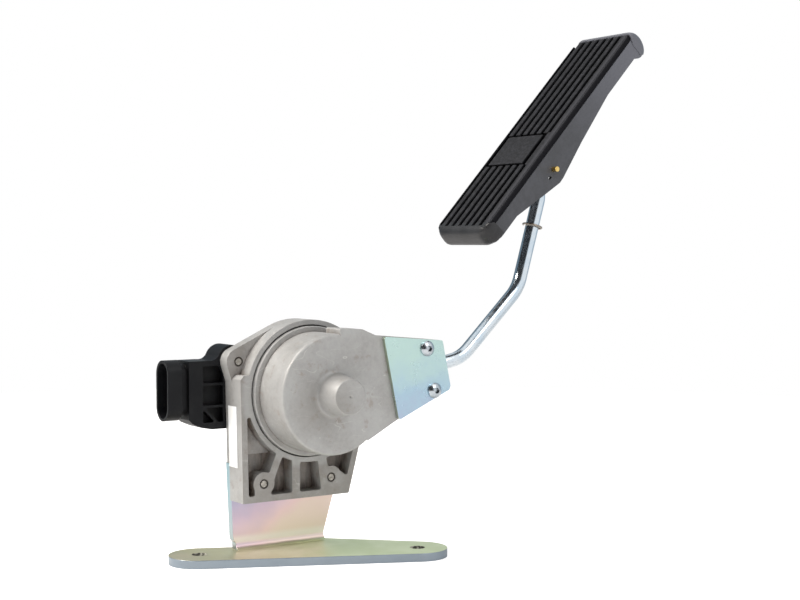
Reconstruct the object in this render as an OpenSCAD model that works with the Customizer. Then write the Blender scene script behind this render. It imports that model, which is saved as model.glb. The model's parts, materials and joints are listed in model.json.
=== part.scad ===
// Suspended electronic accelerator pedal on its own folded floor bracket.
// Origin: the middle of the two fixing holes, on the underside of the bracket plate.
// +Z is up. The pivot runs along Y, and its cast drum faces -Y. Pressing turns the pedal
// clockwise as seen from the drum's side. Millimetres throughout.

/* [Bracket] */
// Thickness of the folded sheet
sheet_t = 6; // [4:0.5:8]
// Distance between the two fixing holes
hole_spacing = 158; // [150:1:180]
// Turn of the line through the fixing holes
hole_line_angle = -25; // [-30:1:-20]
// Diameter of a fixing hole
fixing_hole_d = 11; // [7:0.5:14]
// Radius of the lobe round a fixing hole
lobe_r = 22; // [16:1:24]
// Inner radius of the fold
fold_r = 5; // [3:0.5:8]
// Height of the upright leg's top edge
leg_top = 69.5; // [64:0.5:74]
// Width of the leg at the fold
leg_foot_w = 74; // [60:1:80]
// Width of the leg at its top edge
leg_head_w = 96; // [88:1:100]

/* [Pivot] */
// Distance of the pivot to the right of the origin
pivot_x = 8.5; // [4:0.5:14]
// Height of the pivot axis
pivot_z = 120.5; // [114:0.5:130]
// Diameter of the pivot shaft
shaft_d = 12; // [10:0.5:14]
// Diameter of the shaft's end in the sensor
shaft_tip_d = 8; // [6:0.5:9]
// Wall of a bearing bush
bush_wall = 2; // [1.5:0.25:2.5]
// Length of a bearing bush
bush_len = 12; // [8:0.5:14]
// End float of the shaft
end_float = 0.3; // [0.1:0.05:0.5]

/* [Lever drum] */
// Place of the drum's flat face along the pivot
face_y = -23; // [-26:0.5:-20]
// Radius of the drum
drum_r = 43.4; // [42:0.2:45]
// Depth of the drum
drum_depth = 36; // [34:0.5:40]
// Thickness of the drum's side wall
drum_wall = 4.5; // [3:0.25:6]
// Thickness of the drum's face
drum_face_t = 6; // [5:0.5:8]
// Radius of the lip round the drum's open edge
lip_r = 47.5; // [46.5:0.25:48]
// Height of the pivot boss over the face
boss_h = 20; // [14:0.5:24]
// Diameter of the pivot boss at its end
boss_d = 25.4; // [22:0.2:28]
// Thickness of the arm that grows from the drum
arm_t = 20; // [17:0.5:24]
// Turn of the arm above the horizontal
arm_angle = 12; // [8:1:16]
// Length of the arm from the pivot
arm_len = 96.5; // [92:0.5:102]
// Height of the arm's end above its middle line
arm_above = 16; // [14:0.5:18]
// Depth of the arm's end below its middle line
arm_below = 18.6; // [17:0.2:20]

/* [Housing] */
// Depth of the casting from its front ribs to its back
casting_t = 20; // [18:0.5:24]
// Height that the back stands out above the bracket leg
back_step = 3.5; // [2:0.5:6]
// Thickness of the floor behind the pockets
floor_t = 7; // [6:0.5:9]
// Thickness of the outer walls
casting_wall = 4.6; // [3.5:0.2:6]
// Distance of the outer left wall from the pivot
casting_left = 56.3; // [55:0.1:58]
// Radius of the round wall behind the drum
ring_r = 52; // [51:0.5:54]
// Gap between the drum's lip and the round wall
lip_gap = 1; // [0.6:0.1:1.4]
// Distance of the casting's bottom edge below the pivot
casting_drop = 78; // [76:0.5:82]
// Radius of the cast ear at the upper left
ear_r = 9.5; // [8:0.5:11]
// Diameter of the housing and sensor screws
screw_d = 6; // [5:0.5:7]
// Distance below the pivot of the two lower screws
low_screw_drop = 65; // [62:0.5:67]
// Height of the blank label
label_h = 44; // [36:1:50]
// Width of the blank label
label_w = 12.5; // [9:0.5:13]

/* [Sensor] */
// Depth of the sensor behind the casting
sensor_t = 20.5; // [18:0.5:24]
// Height of the connector shroud
shroud_h = 43.5; // [41:0.5:46]
// Length of the circuit board to the left of the pivot
board_len = 72; // [66:1:74]
// Height of the circuit board
board_h = 32; // [28:1:36]
// Wall of the connector shroud
shroud_wall = 2; // [1.6:0.1:2.6]
// Distance of the shroud's mouth to the left of the pivot
mouth_x = 102; // [98:0.5:108]
// Distance between two terminals
terminal_pitch = 6; // [5:0.25:6.5]
// Width of a square terminal
terminal_w = 1.5; // [1:0.1:2]

/* [Pedal rod] */
// Diameter of the bent rod
rod_d = 10.5; // [9:0.5:12]
// Radius of the rod's bends at its centre line
rod_bend_r = 24; // [20:1:30]
// Thickness of the clamp plate
clamp_t = 3; // [2:0.25:4]
// Length of the clamp plate
clamp_len = 50; // [46:0.5:52]
// Diameter of a button head
button_d = 11.5; // [10:0.25:13]
// Height of a button head
button_h = 3.8; // [3:0.2:4.5]
// Distance between the two clamp screws
clamp_screw_pitch = 32; // [30:0.5:36]

/* [Foot pad] */
// Width of the pad
pad_w = 65; // [58:1:76]
// Slope of the pad's face
pad_angle = 47.3; // [44:0.1:52]
// Distance of the pad's pin to the right of the pivot
pad_pin_dx = 176.6; // [174:0.2:180]
// Distance of the pad's pin above the pivot
pad_pin_dz = 163.6; // [162:0.2:168]
// Reach of the pad below its pin
pad_low = 80; // [76:1:90]
// Reach of the pad above its pin
pad_high = 137; // [130:1:145]
// Height of the ribbed face over the pin
pad_face = 16.8; // [16:0.2:19]
// Thickness of the pad's side walls
pad_wall = 3; // [2.4:0.2:4]
// Thickness of the rubber tread
tread_t = 4.6; // [4:0.2:6]
// Distance between two grooves of the tread
groove_pitch = 8.5; // [7:0.25:10]
// Width of one groove
groove_w = 4; // [3:0.25:5]
// Depth of the grooves
groove_depth = 2.8; // [1:0.2:3]
// Thickness of the plastic under the tread
pad_skin = 2.4; // [2:0.1:3]
// Diameter of the hinge pin
pin_d = 4; // [3:0.25:5]

/* [Springs] */
// Wire of the outer return spring
outer_wire = 4; // [3:0.25:4.5]
// Gap between the drum's wall and the outer return spring
outer_spring_gap = 5.9; // [4:0.1:7]
// Turns of the outer return spring
outer_turns = 5; // [3:1:6]
// Wire of the inner return spring
inner_wire = 3.2; // [2.4:0.2:3.6]
// Turns of the inner return spring
inner_turns = 6; // [4:1:7]
// Wire of the pad's spring
pad_wire = 1.6; // [1.2:0.1:2]
// Distance of the pad spring's loop below the bend under the pad
loop_drop = 26; // [20:1:32]

/* [Hidden] */
$fn = 64;
eps = 0.02;
// Radial clearance between pieces that stay together, and of a turning shaft
seat_gap = 0.03;
running_gap = 0.05;

// Stations along the pivot, from the drum's boss back to the sensor's lid
rim_y = face_y + drum_depth;
leg_y = rim_y + casting_t;
floor_y = leg_y - floor_t;
back_y = leg_y + back_step;
sensor_y = back_y + sensor_t;
bush_y = rim_y - 10;
tube_d = shaft_d + 2 * bush_wall + 9;
bush_flange_t = 1.5;
washer_t = 1.5;
inner_boss_y = bush_y - bush_flange_t - end_float - washer_t;
rear_pocket = 4;
rear_bush_y = back_y - rear_pocket - bush_len;
lip_t = 4;
arm_back_y = face_y + arm_t;
rod_y = face_y + rod_d / 2;
shaft_front_y = face_y - boss_h + 5;
shaft_tip_len = 12;
outer_coil_r = drum_r - drum_wall - outer_wire / 2 - outer_spring_gap;
inner_coil_r = (tube_d / 2 + outer_coil_r - outer_wire / 2) / 2 + 0.3;
steel = "#B9BFC6";
zinc = "#B6D0D6";
cast = "#B5AFA8";
black = "#2A2B2E";

function unit(a) = [cos(a), sin(a)];
function turned(p, a) = [p[0] * cos(a) - p[1] * sin(a), p[0] * sin(a) + p[1] * cos(a)];
function arc(c, r, a0, a1, n = 8) = [for (i = [0:n]) c + r * unit(a0 + (a1 - a0) * i / n)];

// Extrudes an outline drawn in X and Z from y0 to y1
module along_y(y0, y1) {
  translate([0, y1, 0]) rotate([90, 0, 0]) linear_extrude(y1 - y0) children();
}

// A profile of radius and distance, turned about an axis along Y
module turned_y() { rotate([-90, 0, 0]) rotate_extrude() children(); }

module at_pivot() { translate([pivot_x, 0, pivot_z]) children(); }

module rounded(r) { offset(r = r) offset(delta = -r) children(); }

module filleted(r) { offset(r = -r) offset(delta = r) children(); }

// The band that touches two circles, which joins a round lobe to another
module web(c1, r1, c2, r2) {
  d = c2 - c1;
  base = atan2(d[1], d[0]);
  side = acos((r1 - r2) / norm(d));
  polygon([c1 + r1 * unit(base - side), c2 + r2 * unit(base - side),
           c2 + r2 * unit(base + side), c1 + r1 * unit(base + side)]);
}

// A round wire along a list of points
module swept_wire(points, r, sides = 8) {
  n = len(points);
  tangent = [for (i = [0:n - 1])
    let (d = points[min(i + 1, n - 1)] - points[max(i - 1, 0)]) d / norm(d)];
  first = cross(tangent[0], abs(tangent[0][2]) < 0.8 ? [0, 0, 1] : [1, 0, 0]);
  normal = [for (i = 0, v = first / norm(first); i < n;
      i = i + 1, v = i < n ? let (w = v - (v * tangent[i]) * tangent[i]) w / norm(w) : v) v];
  polyhedron(
    points = [for (i = [0:n - 1]) for (k = [0:sides - 1])
      let (a = 360 * k / sides, b = cross(tangent[i], normal[i]))
      points[i] + r * (cos(a) * normal[i] + sin(a) * b)],
    faces = concat(
      [[for (k = [0:sides - 1]) k]],
      [for (i = [0:n - 2]) for (k = [0:sides - 1]) each
        let (a = i * sides + k, b = i * sides + (k + 1) % sides)
        [[a, a + sides, b], [b, a + sides, b + sides]]],
      [[for (k = [sides - 1:-1:0]) (n - 1) * sides + k]]));
}
// Folded bracket. leg_mid_x is the middle of the upright leg.
leg_mid_x = -5.6;
fixing_hole = hole_spacing / 2 * unit(hole_line_angle);
fold_y = leg_y - fold_r;
low_screw_x = [-38.5, 17.9];
low_screws = [for (x = low_screw_x) [x, -low_screw_drop]];

module bracket_plate_outline() {
  left_foot = [leg_mid_x - leg_foot_w / 2, fold_y];
  right_foot = [leg_mid_x + leg_foot_w / 2, fold_y];
  for (s = [-1, 1]) translate(s * fixing_hole) circle(lobe_r);
  web(-fixing_hole, lobe_r, fixing_hole, lobe_r);
  far = unit(hole_line_angle + 90);
  slope = unit(hole_line_angle - 17);
  polygon([-fixing_hole, -fixing_hole + lobe_r * far, left_foot - [8.5, 0], left_foot,
           right_foot, right_foot + [1.5, 7], fixing_hole + lobe_r * [-slope[1], slope[0]],
           fixing_hole]);
}

module leg_outline() {
  head = leg_mid_x + 6.5;
  foot_z = sheet_t + fold_r;
  left = leg_mid_x - leg_foot_w / 2;
  polygon([[left, foot_z], [leg_mid_x + leg_foot_w / 2, foot_z],
           [head + leg_head_w / 2, leg_top], [head - leg_head_w / 2, leg_top],
           [left - 2.1, foot_z + 5], [left - 1.5, foot_z + 2]]);
}

module mounting_bracket() color("#C6C99F") difference() {
  union() {
    linear_extrude(sheet_t) bracket_plate_outline();
    translate([leg_mid_x - leg_foot_w / 2, fold_y, sheet_t + fold_r])
      rotate([90, 0, 90]) linear_extrude(leg_foot_w) intersection() {
        difference() { circle(fold_r + sheet_t); circle(fold_r); }
        translate([0, -fold_r - sheet_t]) square(fold_r + sheet_t);
      }
    along_y(leg_y, leg_y + sheet_t) leg_outline();
  }
  for (s = [-1, 1]) translate([s * fixing_hole[0], s * fixing_hole[1], -1])
    cylinder(d = fixing_hole_d, h = sheet_t + 2);
  at_pivot() along_y(leg_y - 1, leg_y + sheet_t + 1)
    for (p = low_screws) translate(p) circle(d = screw_d + 0.6);
}
// Cast housing, drawn about the pivot
ear = [-51.8, 22.7];
rear_ear = [36, -20];
right_slope = 0.267;
casting_draft = 0.9;
boss_r = 8.5;
tip_ring = 0.6;
ring_inner_r = lip_r + lip_gap;

module casting_body() {
  polygon([[casting_draft - casting_left, -casting_drop], [33, -casting_drop],
           [33 + right_slope * (casting_drop - 27), -27],
           [0, 10], [-40, 13.5], [-54.6, 13.5], [-casting_draft - casting_left, 10.5]]);
  circle(ring_r);
}

module casting_outline() {
  casting_body();
  translate(ear) circle(ear_r);
  web([0, 0], ring_r, ear, ear_r);
}

module casting_ribs() {
  for (p = low_screws) translate(p) circle(boss_r);
  translate([-12, -casting_drop / 2]) square([6.4, casting_drop], center = true);
  web([-25, -43], 2.8, [-33, -62], 2.8);
  polygon([[9.8, -casting_drop], [60, -casting_drop], [60, -64], [30, -64], [23, -59],
           [16.4, -60], [11.8, -46], [5.8, -45]]);
  translate([-46, -casting_drop]) square([12, casting_drop - low_screw_drop]);
}

module casting_pockets() {
  rounded(1.6) difference() {
    offset(delta = -casting_wall) casting_body();
    circle(ring_r);
    casting_ribs();
  }
}

// Half width of the lever's stop lug, its gap at rest, and the pedal's travel, in degrees
stop_lug_a = 10;
stop_gap = 0.5;
press_travel = 20;
module stop_sector(a0, a1, r0, r1) {
  polygon(concat(arc([0, 0], r0, a0, a1), arc([0, 0], r1, a1, a0)));
}

module housing() color(cast) at_pivot() difference() {
  union() {
    along_y(floor_y, leg_y) casting_outline();
    along_y(leg_y - eps, back_y) intersection() {
      casting_outline();
      translate([-80, leg_top + 0.4 - pivot_z]) square([160, 160]);
    }
    along_y(rim_y, floor_y + eps) difference() {
      casting_body();
      circle(ring_inner_r);
      casting_pockets();
    }
    along_y(bush_y, floor_y + eps) circle(d = tube_d);
    along_y(rim_y + 2, floor_y + eps) for (s = [
        [-90 + stop_lug_a + stop_gap, -62], [-142, -90 - stop_lug_a - press_travel - stop_gap]])
      stop_sector(s[0], s[1], drum_r - drum_wall, ring_inner_r + 1);
    along_y(floor_y - 4, floor_y + eps) intersection() {
      casting_pockets();
      translate([-60, -44]) square([30, 30]);
    }
  }
  along_y(bush_y - 1, back_y + 1) circle(d = shaft_d + 2 * bush_wall);
  along_y(back_y - rear_pocket, back_y + 1) circle(d = tube_d);
  along_y(rim_y - 1, leg_y + 1) for (p = low_screws) translate(p) circle(d = screw_d + 2 * seat_gap);
  along_y(rim_y - 1, rim_y + 1) for (p = low_screws) translate(p) circle(d = screw_d + 2 * tip_ring);
  along_y(floor_y - 1, back_y + 1) translate(ear) circle(d = screw_d + 2 * seat_gap);
  along_y(floor_y - 1, floor_y + 1) translate(ear) circle(d = screw_d + 2 * tip_ring);
  along_y(floor_y + 1.5, back_y + 1) translate(rear_ear) circle(d = screw_d + 2 * seat_gap);
  spring_hole(outer_coil_r, outer_wire, rear_tang_a, floor_y - 1);
  spring_hole(inner_coil_r, inner_wire, rear_tang_a, floor_y - 1);
}

// A blind hole that takes the end of a return spring
tang_depth = 4;
front_tang_a = 150;
rear_tang_a = 60;
module spring_hole(coil_r, wire, a, y0) {
  along_y(y0, y0 + tang_depth + 1) translate(coil_r * unit(a)) circle(d = wire + 0.6);
}
// Screws that come in from behind, with their ends showing at the front
cap_h = 6;
cap_d = 10;
module cap_screw(y_tip, y_seat) {
  along_y(y_tip, y_seat + eps) circle(d = screw_d);
  difference() {
    along_y(y_seat, y_seat + cap_h) circle(d = cap_d);
    along_y(y_seat + cap_h / 2, y_seat + cap_h + 1) circle(d = 5.8, $fn = 6);
  }
}

module bracket_screws() color(steel) at_pivot() for (p = low_screws) translate([p[0], 0, p[1]])
  cap_screw(rim_y + 0.2, leg_y + sheet_t);

module sensor_screws() color(steel) at_pivot() {
  translate([ear[0], 0, ear[1]]) cap_screw(floor_y + 0.2, sensor_y - cap_h);
  translate([rear_ear[0], 0, rear_ear[1]]) cap_screw(floor_y + 2, back_y + rear_ear_t);
}

module bush(y0, flange) {
  along_y(y0, y0 + bush_len) difference() {
    circle(d = shaft_d + 2 * bush_wall - 2 * seat_gap);
    circle(d = shaft_d + 2 * running_gap);
  }
  if (flange) along_y(y0 - bush_flange_t, y0) difference() {
    circle(d = tube_d - 3);
    circle(d = shaft_d + 2 * running_gap);
  }
}

module front_bush() color("#A8834E") at_pivot() bush(bush_y, true);

module rear_bush() color("#A8834E") at_pivot() bush(rear_bush_y, false);
// Lever drum, its boss, and the arm that carries the rod
clamp_axis_v = -2.5;
clamp_u = arm_len - 15;
rod_start_u = 50;
clamp_left = arm_len - clamp_len;
arm_spread = 15.2;
module arm_outline() {
  polygon([[3.8, 30], [3.8, 47.3], [22.3, 46], [33.7, 41.2], [39.5, 40.6],
           turned([arm_len, arm_above], arm_angle), turned([arm_len, -arm_below], arm_angle),
           turned([arm_len - 1.4, -arm_below - 2.9], arm_angle),
           turned([46.6, -arm_below - 13.1], arm_angle),
           (drum_r + 0.1) * unit(-68.5), [0, -20]]);
}

module drum_profile() {
  polygon(concat(
    [[0, face_y]], arc([drum_r - 2, face_y + 2], 2, -90, 0, 4),
    [[drum_r, rim_y - lip_t + 1], [lip_r - 0.6, rim_y - lip_t + 1], [lip_r, rim_y - lip_t + 1.6],
     [lip_r, rim_y + 1], [drum_r - drum_wall, rim_y + 1],
     [drum_r - drum_wall, face_y + drum_face_t], [0, face_y + drum_face_t]]));
}

module boss_profile() {
  foot_r = boss_d / 2 + 2.4;
  polygon(concat(
    [[0, face_y + 1], [foot_r + 3, face_y + 1]],
    [for (p = arc([foot_r + 3, face_y - 3], 3, 90, 180, 5)) p],
    [for (p = arc([boss_d / 2 - 1, face_y - boss_h + 1], 1, 0, -90, 3)) p],
    [[1.6, face_y - boss_h], [0, face_y - boss_h + 1.2]]));
}

module hub_arm() color("#B8B2AA") at_pivot() difference() {
  union() {
    turned_y() drum_profile();
    turned_y() boss_profile();
    along_y(face_y, arm_back_y) rounded(1.5) difference() {
      arm_outline();
      circle(drum_r - drum_wall / 2);
    }
    along_y(face_y + 1, inner_boss_y) circle(d = tube_d);
    along_y(rim_y, rim_y + 9) stop_sector(
      -90 - stop_lug_a, -90 + stop_lug_a, drum_r - drum_wall + 0.3, lip_r - 0.8);
  }
  along_y(shaft_front_y, inner_boss_y + 1) circle(d = shaft_d + 2 * seat_gap);
  rod_slot();
  along_y(face_y - 1, arm_back_y + 1) for (p = clamp_holes) translate(p)
    circle(d = screw_d + 2 * seat_gap);
  along_y(arm_back_y - 8, arm_back_y + 1) arm_pockets();
  spring_hole(outer_coil_r, outer_wire, front_tang_a, face_y + drum_face_t - tang_depth);
  spring_hole(inner_coil_r, inner_wire, front_tang_a, face_y + drum_face_t - tang_depth);
}

clamp_holes = [for (s = [-1, 1])
  turned([clamp_u, clamp_axis_v + s * clamp_screw_pitch / 2], arm_angle)];

slot_len = arm_len - rod_start_u + 14;
module rod_slot() {
  rotate([0, -arm_angle, 0]) translate([rod_start_u - 2, 0, clamp_axis_v]) {
    translate([0, rod_y, 0]) rotate([0, 90, 0]) cylinder(d = rod_d + 2 * seat_gap, h = slot_len);
    translate([0, face_y - 1, -rod_d / 2 - seat_gap])
      cube([slot_len, rod_y - face_y + 1, rod_d + 2 * seat_gap]);
  }
}

// Cored pockets in the back of the arm
module arm_pockets() {
  rotate(arm_angle) rounded(2) difference() {
    union() {
      polygon([[48, 22], [48, 8], [clamp_u - 9.5, 8], [clamp_u - 9.5, arm_above - 1]]);
      polygon([[50, -12], [50, -26], [clamp_u - 9.5, -arm_below - 2.4], [clamp_u - 9.5, -12]]);
    }
    circle(drum_r + 3);
  }
}

module pivot_shaft() color(steel) at_pivot() difference() {
  union() {
    along_y(shaft_front_y + 0.5, back_y + 1) circle(d = shaft_d);
    along_y(back_y, back_y + shaft_tip_len) circle(d = shaft_tip_d);
  }
  along_y(clip_y, clip_y + clip_t + 0.2) difference() {
    circle(d = shaft_d + 4);
    circle(d = shaft_d - 1.6);
  }
  along_y(back_y + 2, back_y + shaft_tip_len + 1)
    translate([shaft_tip_d / 2 - 1.4, -shaft_tip_d]) square([shaft_tip_d, 2 * shaft_tip_d]);
}

clip_t = 1;
rear_washer_t = 1.2;
clip_y = back_y - rear_pocket + rear_washer_t + end_float;

module thrust_washer() color("#D8D2C0") at_pivot()
  along_y(inner_boss_y, inner_boss_y + washer_t) difference() {
    circle(d = tube_d - 1);
    circle(d = shaft_d + 0.3);
  }

module rear_washer() color(steel) at_pivot()
  along_y(back_y - rear_pocket + end_float / 2, back_y - rear_pocket + end_float / 2 + rear_washer_t)
    difference() {
      circle(d = tube_d - 3);
      circle(d = shaft_d + 0.3);
    }

module retaining_clip() color("#6E7379") at_pivot()
  along_y(clip_y + 0.1, clip_y + 0.1 + clip_t) difference() {
    circle(d = shaft_d + 6);
    circle(d = shaft_d - 1.5);
    translate([0, -shaft_d]) square([3.6, 2 * shaft_d], center = true);
  }
// Sensor behind the housing, with its connector to the left
rear_ear_t = 7;
core_r = 27;
rotor_r = 11.4;
rotor_y = back_y + 2;
rotor_len = 10.5;
wall_y = rotor_y + rotor_len + 1;
board_y = wall_y + 2;
board_t = 1.6;
board_seat_y = sensor_y - 2;
socket_z = 2.7;
neck_x = 86;
shroud_back_x = neck_x + 5;
shroud_y = back_y + sensor_t / 2;
shroud_w = sensor_t - 0.4;

module stadium(w, h) {
  for (s = [-1, 1]) translate([0, s * (h - w) / 2]) circle(d = w);
  square([w, h - w], center = true);
}

// Extrudes an outline drawn in Y and Z from x0 leftwards to x1
module leftwards(x0, x1) {
  translate([-x0, shroud_y, socket_z]) rotate([90, 0, -90]) linear_extrude(x1 - x0) children();
}

module sensor_outline() {
  circle(core_r);
  filleted(7) {
    translate(ear) circle(11.5);
    polygon([[-neck_x, 23.5], [-neck_x, -18.5], [-83, -21.5], [-76, -24.5], [-68, -26], [0, -26],
             [10, 10], [ear[0], ear[1]], [-72, 23.5]]);
  }
}

module sensor_cells() {
  rounded(1) difference() {
    polygon([[-75, 19.5], [-75, -21], [-56, -21], [-32, -21], [-32, 19.5]]);
    circle(core_r + 2);
    translate(ear) circle(10.5);
    for (z = [-9.5, 6.5]) translate([-60, z]) square([60, 1.8], center = true);
    web([-75, -10], 0.9, [-62, -23], 0.9);
    translate([-58, 0]) square([1.8, 60], center = true);
  }
}

module sensor_body() color(black) at_pivot() difference() {
  union() {
    along_y(back_y, sensor_y) sensor_outline();
    along_y(back_y, back_y + rear_ear_t) {
      translate(rear_ear) circle(9);
      web([0, 0], core_r, rear_ear, 9);
    }
    leftwards(neck_x - 1, shroud_back_x + 1) stadium(shroud_w - 5, shroud_h - 6);
    leftwards(shroud_back_x, mouth_x) stadium(shroud_w, shroud_h);
  }
  leftwards(neck_x - 4, mouth_x + 1) stadium(shroud_w - 5 - 2 * shroud_wall, shroud_h - 6 - 2 * shroud_wall);
  leftwards(shroud_back_x + 2, mouth_x + 1) stadium(shroud_w - 2 * shroud_wall, shroud_h - 2 * shroud_wall);
  along_y(back_y - 1, back_y + 6) sensor_cells();
  along_y(back_y - 1, wall_y) circle(rotor_r + 0.6);
  along_y(back_y - 1, back_y + seal_depth) difference() {
    circle(seal_r + seal_w / 2);
    circle(seal_r - seal_w / 2);
  }
  along_y(board_y - 0.4, sensor_y + 1) board_outline(0.6);
  along_y(board_seat_y, sensor_y + 1) board_outline(2);
  along_y(back_y - 1, sensor_y + 1) translate(ear) circle(d = screw_d + 0.6);
  along_y(sensor_y - cap_h, sensor_y + 1) translate(ear) circle(d = cap_d + 1);
  along_y(back_y - 1, sensor_y + 1) translate(rear_ear) circle(d = screw_d + 0.6);
  terminals(0.04);
}

seal_r = 18;
seal_w = 3;
seal_depth = 2.2;
module sensor_seal() color("#1B1B1C") at_pivot()
  turned_y() translate([seal_r, back_y + 0.05 + seal_depth / 2]) circle(d = seal_depth - 0.1, $fn = 32);

module board_outline(grow) {
  rounded(3) offset(delta = grow) difference() {
    union() {
      circle(20);
      translate([-board_len, -board_h / 2]) square([board_len - 12, board_h]);
    }
    translate(ear) circle(cap_d / 2 + 4);
  }
}

module sensor_cover() color("#232427") at_pivot()
  along_y(board_seat_y + 0.1, sensor_y) board_outline(1.9);

module sensor_board() color("#2E6B43") at_pivot()
  along_y(board_y - 0.3, board_y - 0.3 + board_t) board_outline(0);

terminal_back_x = neck_x - 18;
terminal_tip_x = mouth_x - 7;
module terminals(grow) {
  wide = terminal_w + 2 * grow;
  for (i = [0:5]) translate([0, 0, (i - 2.5) * terminal_pitch]) {
    leftwards(terminal_back_x - grow, terminal_tip_x) square(wide, center = true);
    along_y(shroud_y, board_y - 0.35)
      translate([-terminal_back_x - terminal_w / 2, socket_z]) square(wide, center = true);
  }
}

module connector_terminals() color("#D9C58A") at_pivot() terminals(0);

module sensor_rotor() color("#3A3B3F") at_pivot() difference() {
  along_y(rotor_y, rotor_y + rotor_len) circle(rotor_r);
  along_y(rotor_y - 1, back_y + shaft_tip_len + 0.2) difference() {
    circle(d = shaft_tip_d + 2 * seat_gap);
    translate([shaft_tip_d / 2 - 1.4 + seat_gap, -shaft_tip_d]) square([shaft_tip_d, 2 * shaft_tip_d]);
  }
  along_y(rotor_y + rotor_len - 3, rotor_y + rotor_len + 1) difference() {
    circle(9);
    circle(5.8);
  }
}

module sensor_magnet() color("#55565A") at_pivot()
  along_y(rotor_y + rotor_len - 3 + 0.05, rotor_y + rotor_len - 0.1) difference() {
    circle(9 - seat_gap);
    circle(5.8 + seat_gap);
  }
// Blank white sticker on the drafted left wall
module label() color("#F2F2F0") at_pivot() {
  draft = atan(2 * casting_draft / (casting_drop + 10.5));
  translate([-casting_left - 0.05, rim_y + 7, -31]) rotate([0, -draft, 0])
    translate([-0.33, 0, -label_h / 2]) cube([0.25, label_w, label_h]);
}
// Return springs: two coils, one inside the other, each with a straight end held in a hole
spring_front_y = face_y + drum_face_t + 1.7;
function spring_path(coil_r, wire, turns, y0, y1, step = 20) = concat(
  [for (y = [face_y + drum_face_t - tang_depth + 0.5, y0 - wire - 0.5])
    [coil_r * cos(front_tang_a), y, coil_r * sin(front_tang_a)]],
  [for (k = [1:3]) let (a = front_tang_a - k * 6, f = 1 - cos(k * 26))
    [coil_r * cos(a), y0 - wire - 0.5 + (wire + 0.5) * sin(k * 28), coil_r * sin(a)]],
  let (a0 = front_tang_a - 26, sweep = -(turns * 360 + front_tang_a - rear_tang_a - 52 - 360))
    [for (i = [0:ceil(-sweep / step)]) let (f = i / ceil(-sweep / step), a = a0 + sweep * f)
      [coil_r * cos(a), y0 + (y1 - y0) * f, coil_r * sin(a)]],
  [for (k = [3:-1:1]) let (a = rear_tang_a + k * 6)
    [coil_r * cos(a), y1 + (wire + 0.5) * (1 - sin(k * 28)), coil_r * sin(a)]],
  [for (y = [y1 + wire + 0.5, floor_y + tang_depth - 0.5])
    [coil_r * cos(rear_tang_a), y, coil_r * sin(rear_tang_a)]]);

module return_spring_outer() color("#8B9096") at_pivot() swept_wire(
  spring_path(outer_coil_r, outer_wire, outer_turns, spring_front_y + outer_wire, floor_y - 10), outer_wire / 2);

module return_spring_inner() color("#8B9096") at_pivot() swept_wire(
  spring_path(inner_coil_r, inner_wire, inner_turns, spring_front_y + inner_wire, floor_y - 9), inner_wire / 2);
// Clamp plate, its screws and the bent rod
module clamp_outline() {
  rounded(2) polygon([turned([clamp_left, arm_above + arm_spread], arm_angle),
    turned([arm_len, arm_above], arm_angle), turned([arm_len, -arm_below], arm_angle),
    turned([arm_len - 1.4, -arm_below - 2.9], arm_angle),
    turned([clamp_left, -arm_below - 13.1], arm_angle)]);
}

module clamp_plate() color(zinc) at_pivot() along_y(face_y - clamp_t, face_y) difference() {
  clamp_outline();
  for (p = clamp_holes) translate(p) circle(d = screw_d + 0.4);
}

module button_screw() {
  seat = face_y - clamp_t;
  dome_r = (button_d * button_d / 4 + button_h * button_h) / (2 * button_h) + 1.2;
  difference() {
    intersection() {
      along_y(seat - button_h, seat) circle(d = button_d);
      translate([0, seat - button_h + dome_r, 0]) sphere(dome_r, $fn = 96);
    }
    along_y(seat - button_h - 1, seat - button_h + 2.2) circle(d = 4.6, $fn = 6);
  }
  along_y(seat - eps, arm_back_y - 0.3) circle(d = screw_d);
}

module clamp_screws() color(steel) at_pivot()
  for (p = clamp_holes) translate([p[0], 0, p[1]]) button_screw();

// The rod's corners, about the pivot: out of the clamp, up the slope, then up to the pad
pad_pin_at = [pad_pin_dx, pad_pin_dz];
rod_knee = turned([arm_len + 20, clamp_axis_v], arm_angle);
rod_elbow = [168.8, 74];
rod_neck = pad_pin_at + [13.2, -17.6];
rod_corners = [turned([rod_start_u, clamp_axis_v], arm_angle), rod_knee, rod_elbow, rod_neck,
               pad_pin_at + 7 * (pad_pin_at - rod_neck) / norm(pad_pin_at - rod_neck)];
rod_radii = [0, rod_bend_r, rod_bend_r, rod_bend_r / 2, 0];

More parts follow.
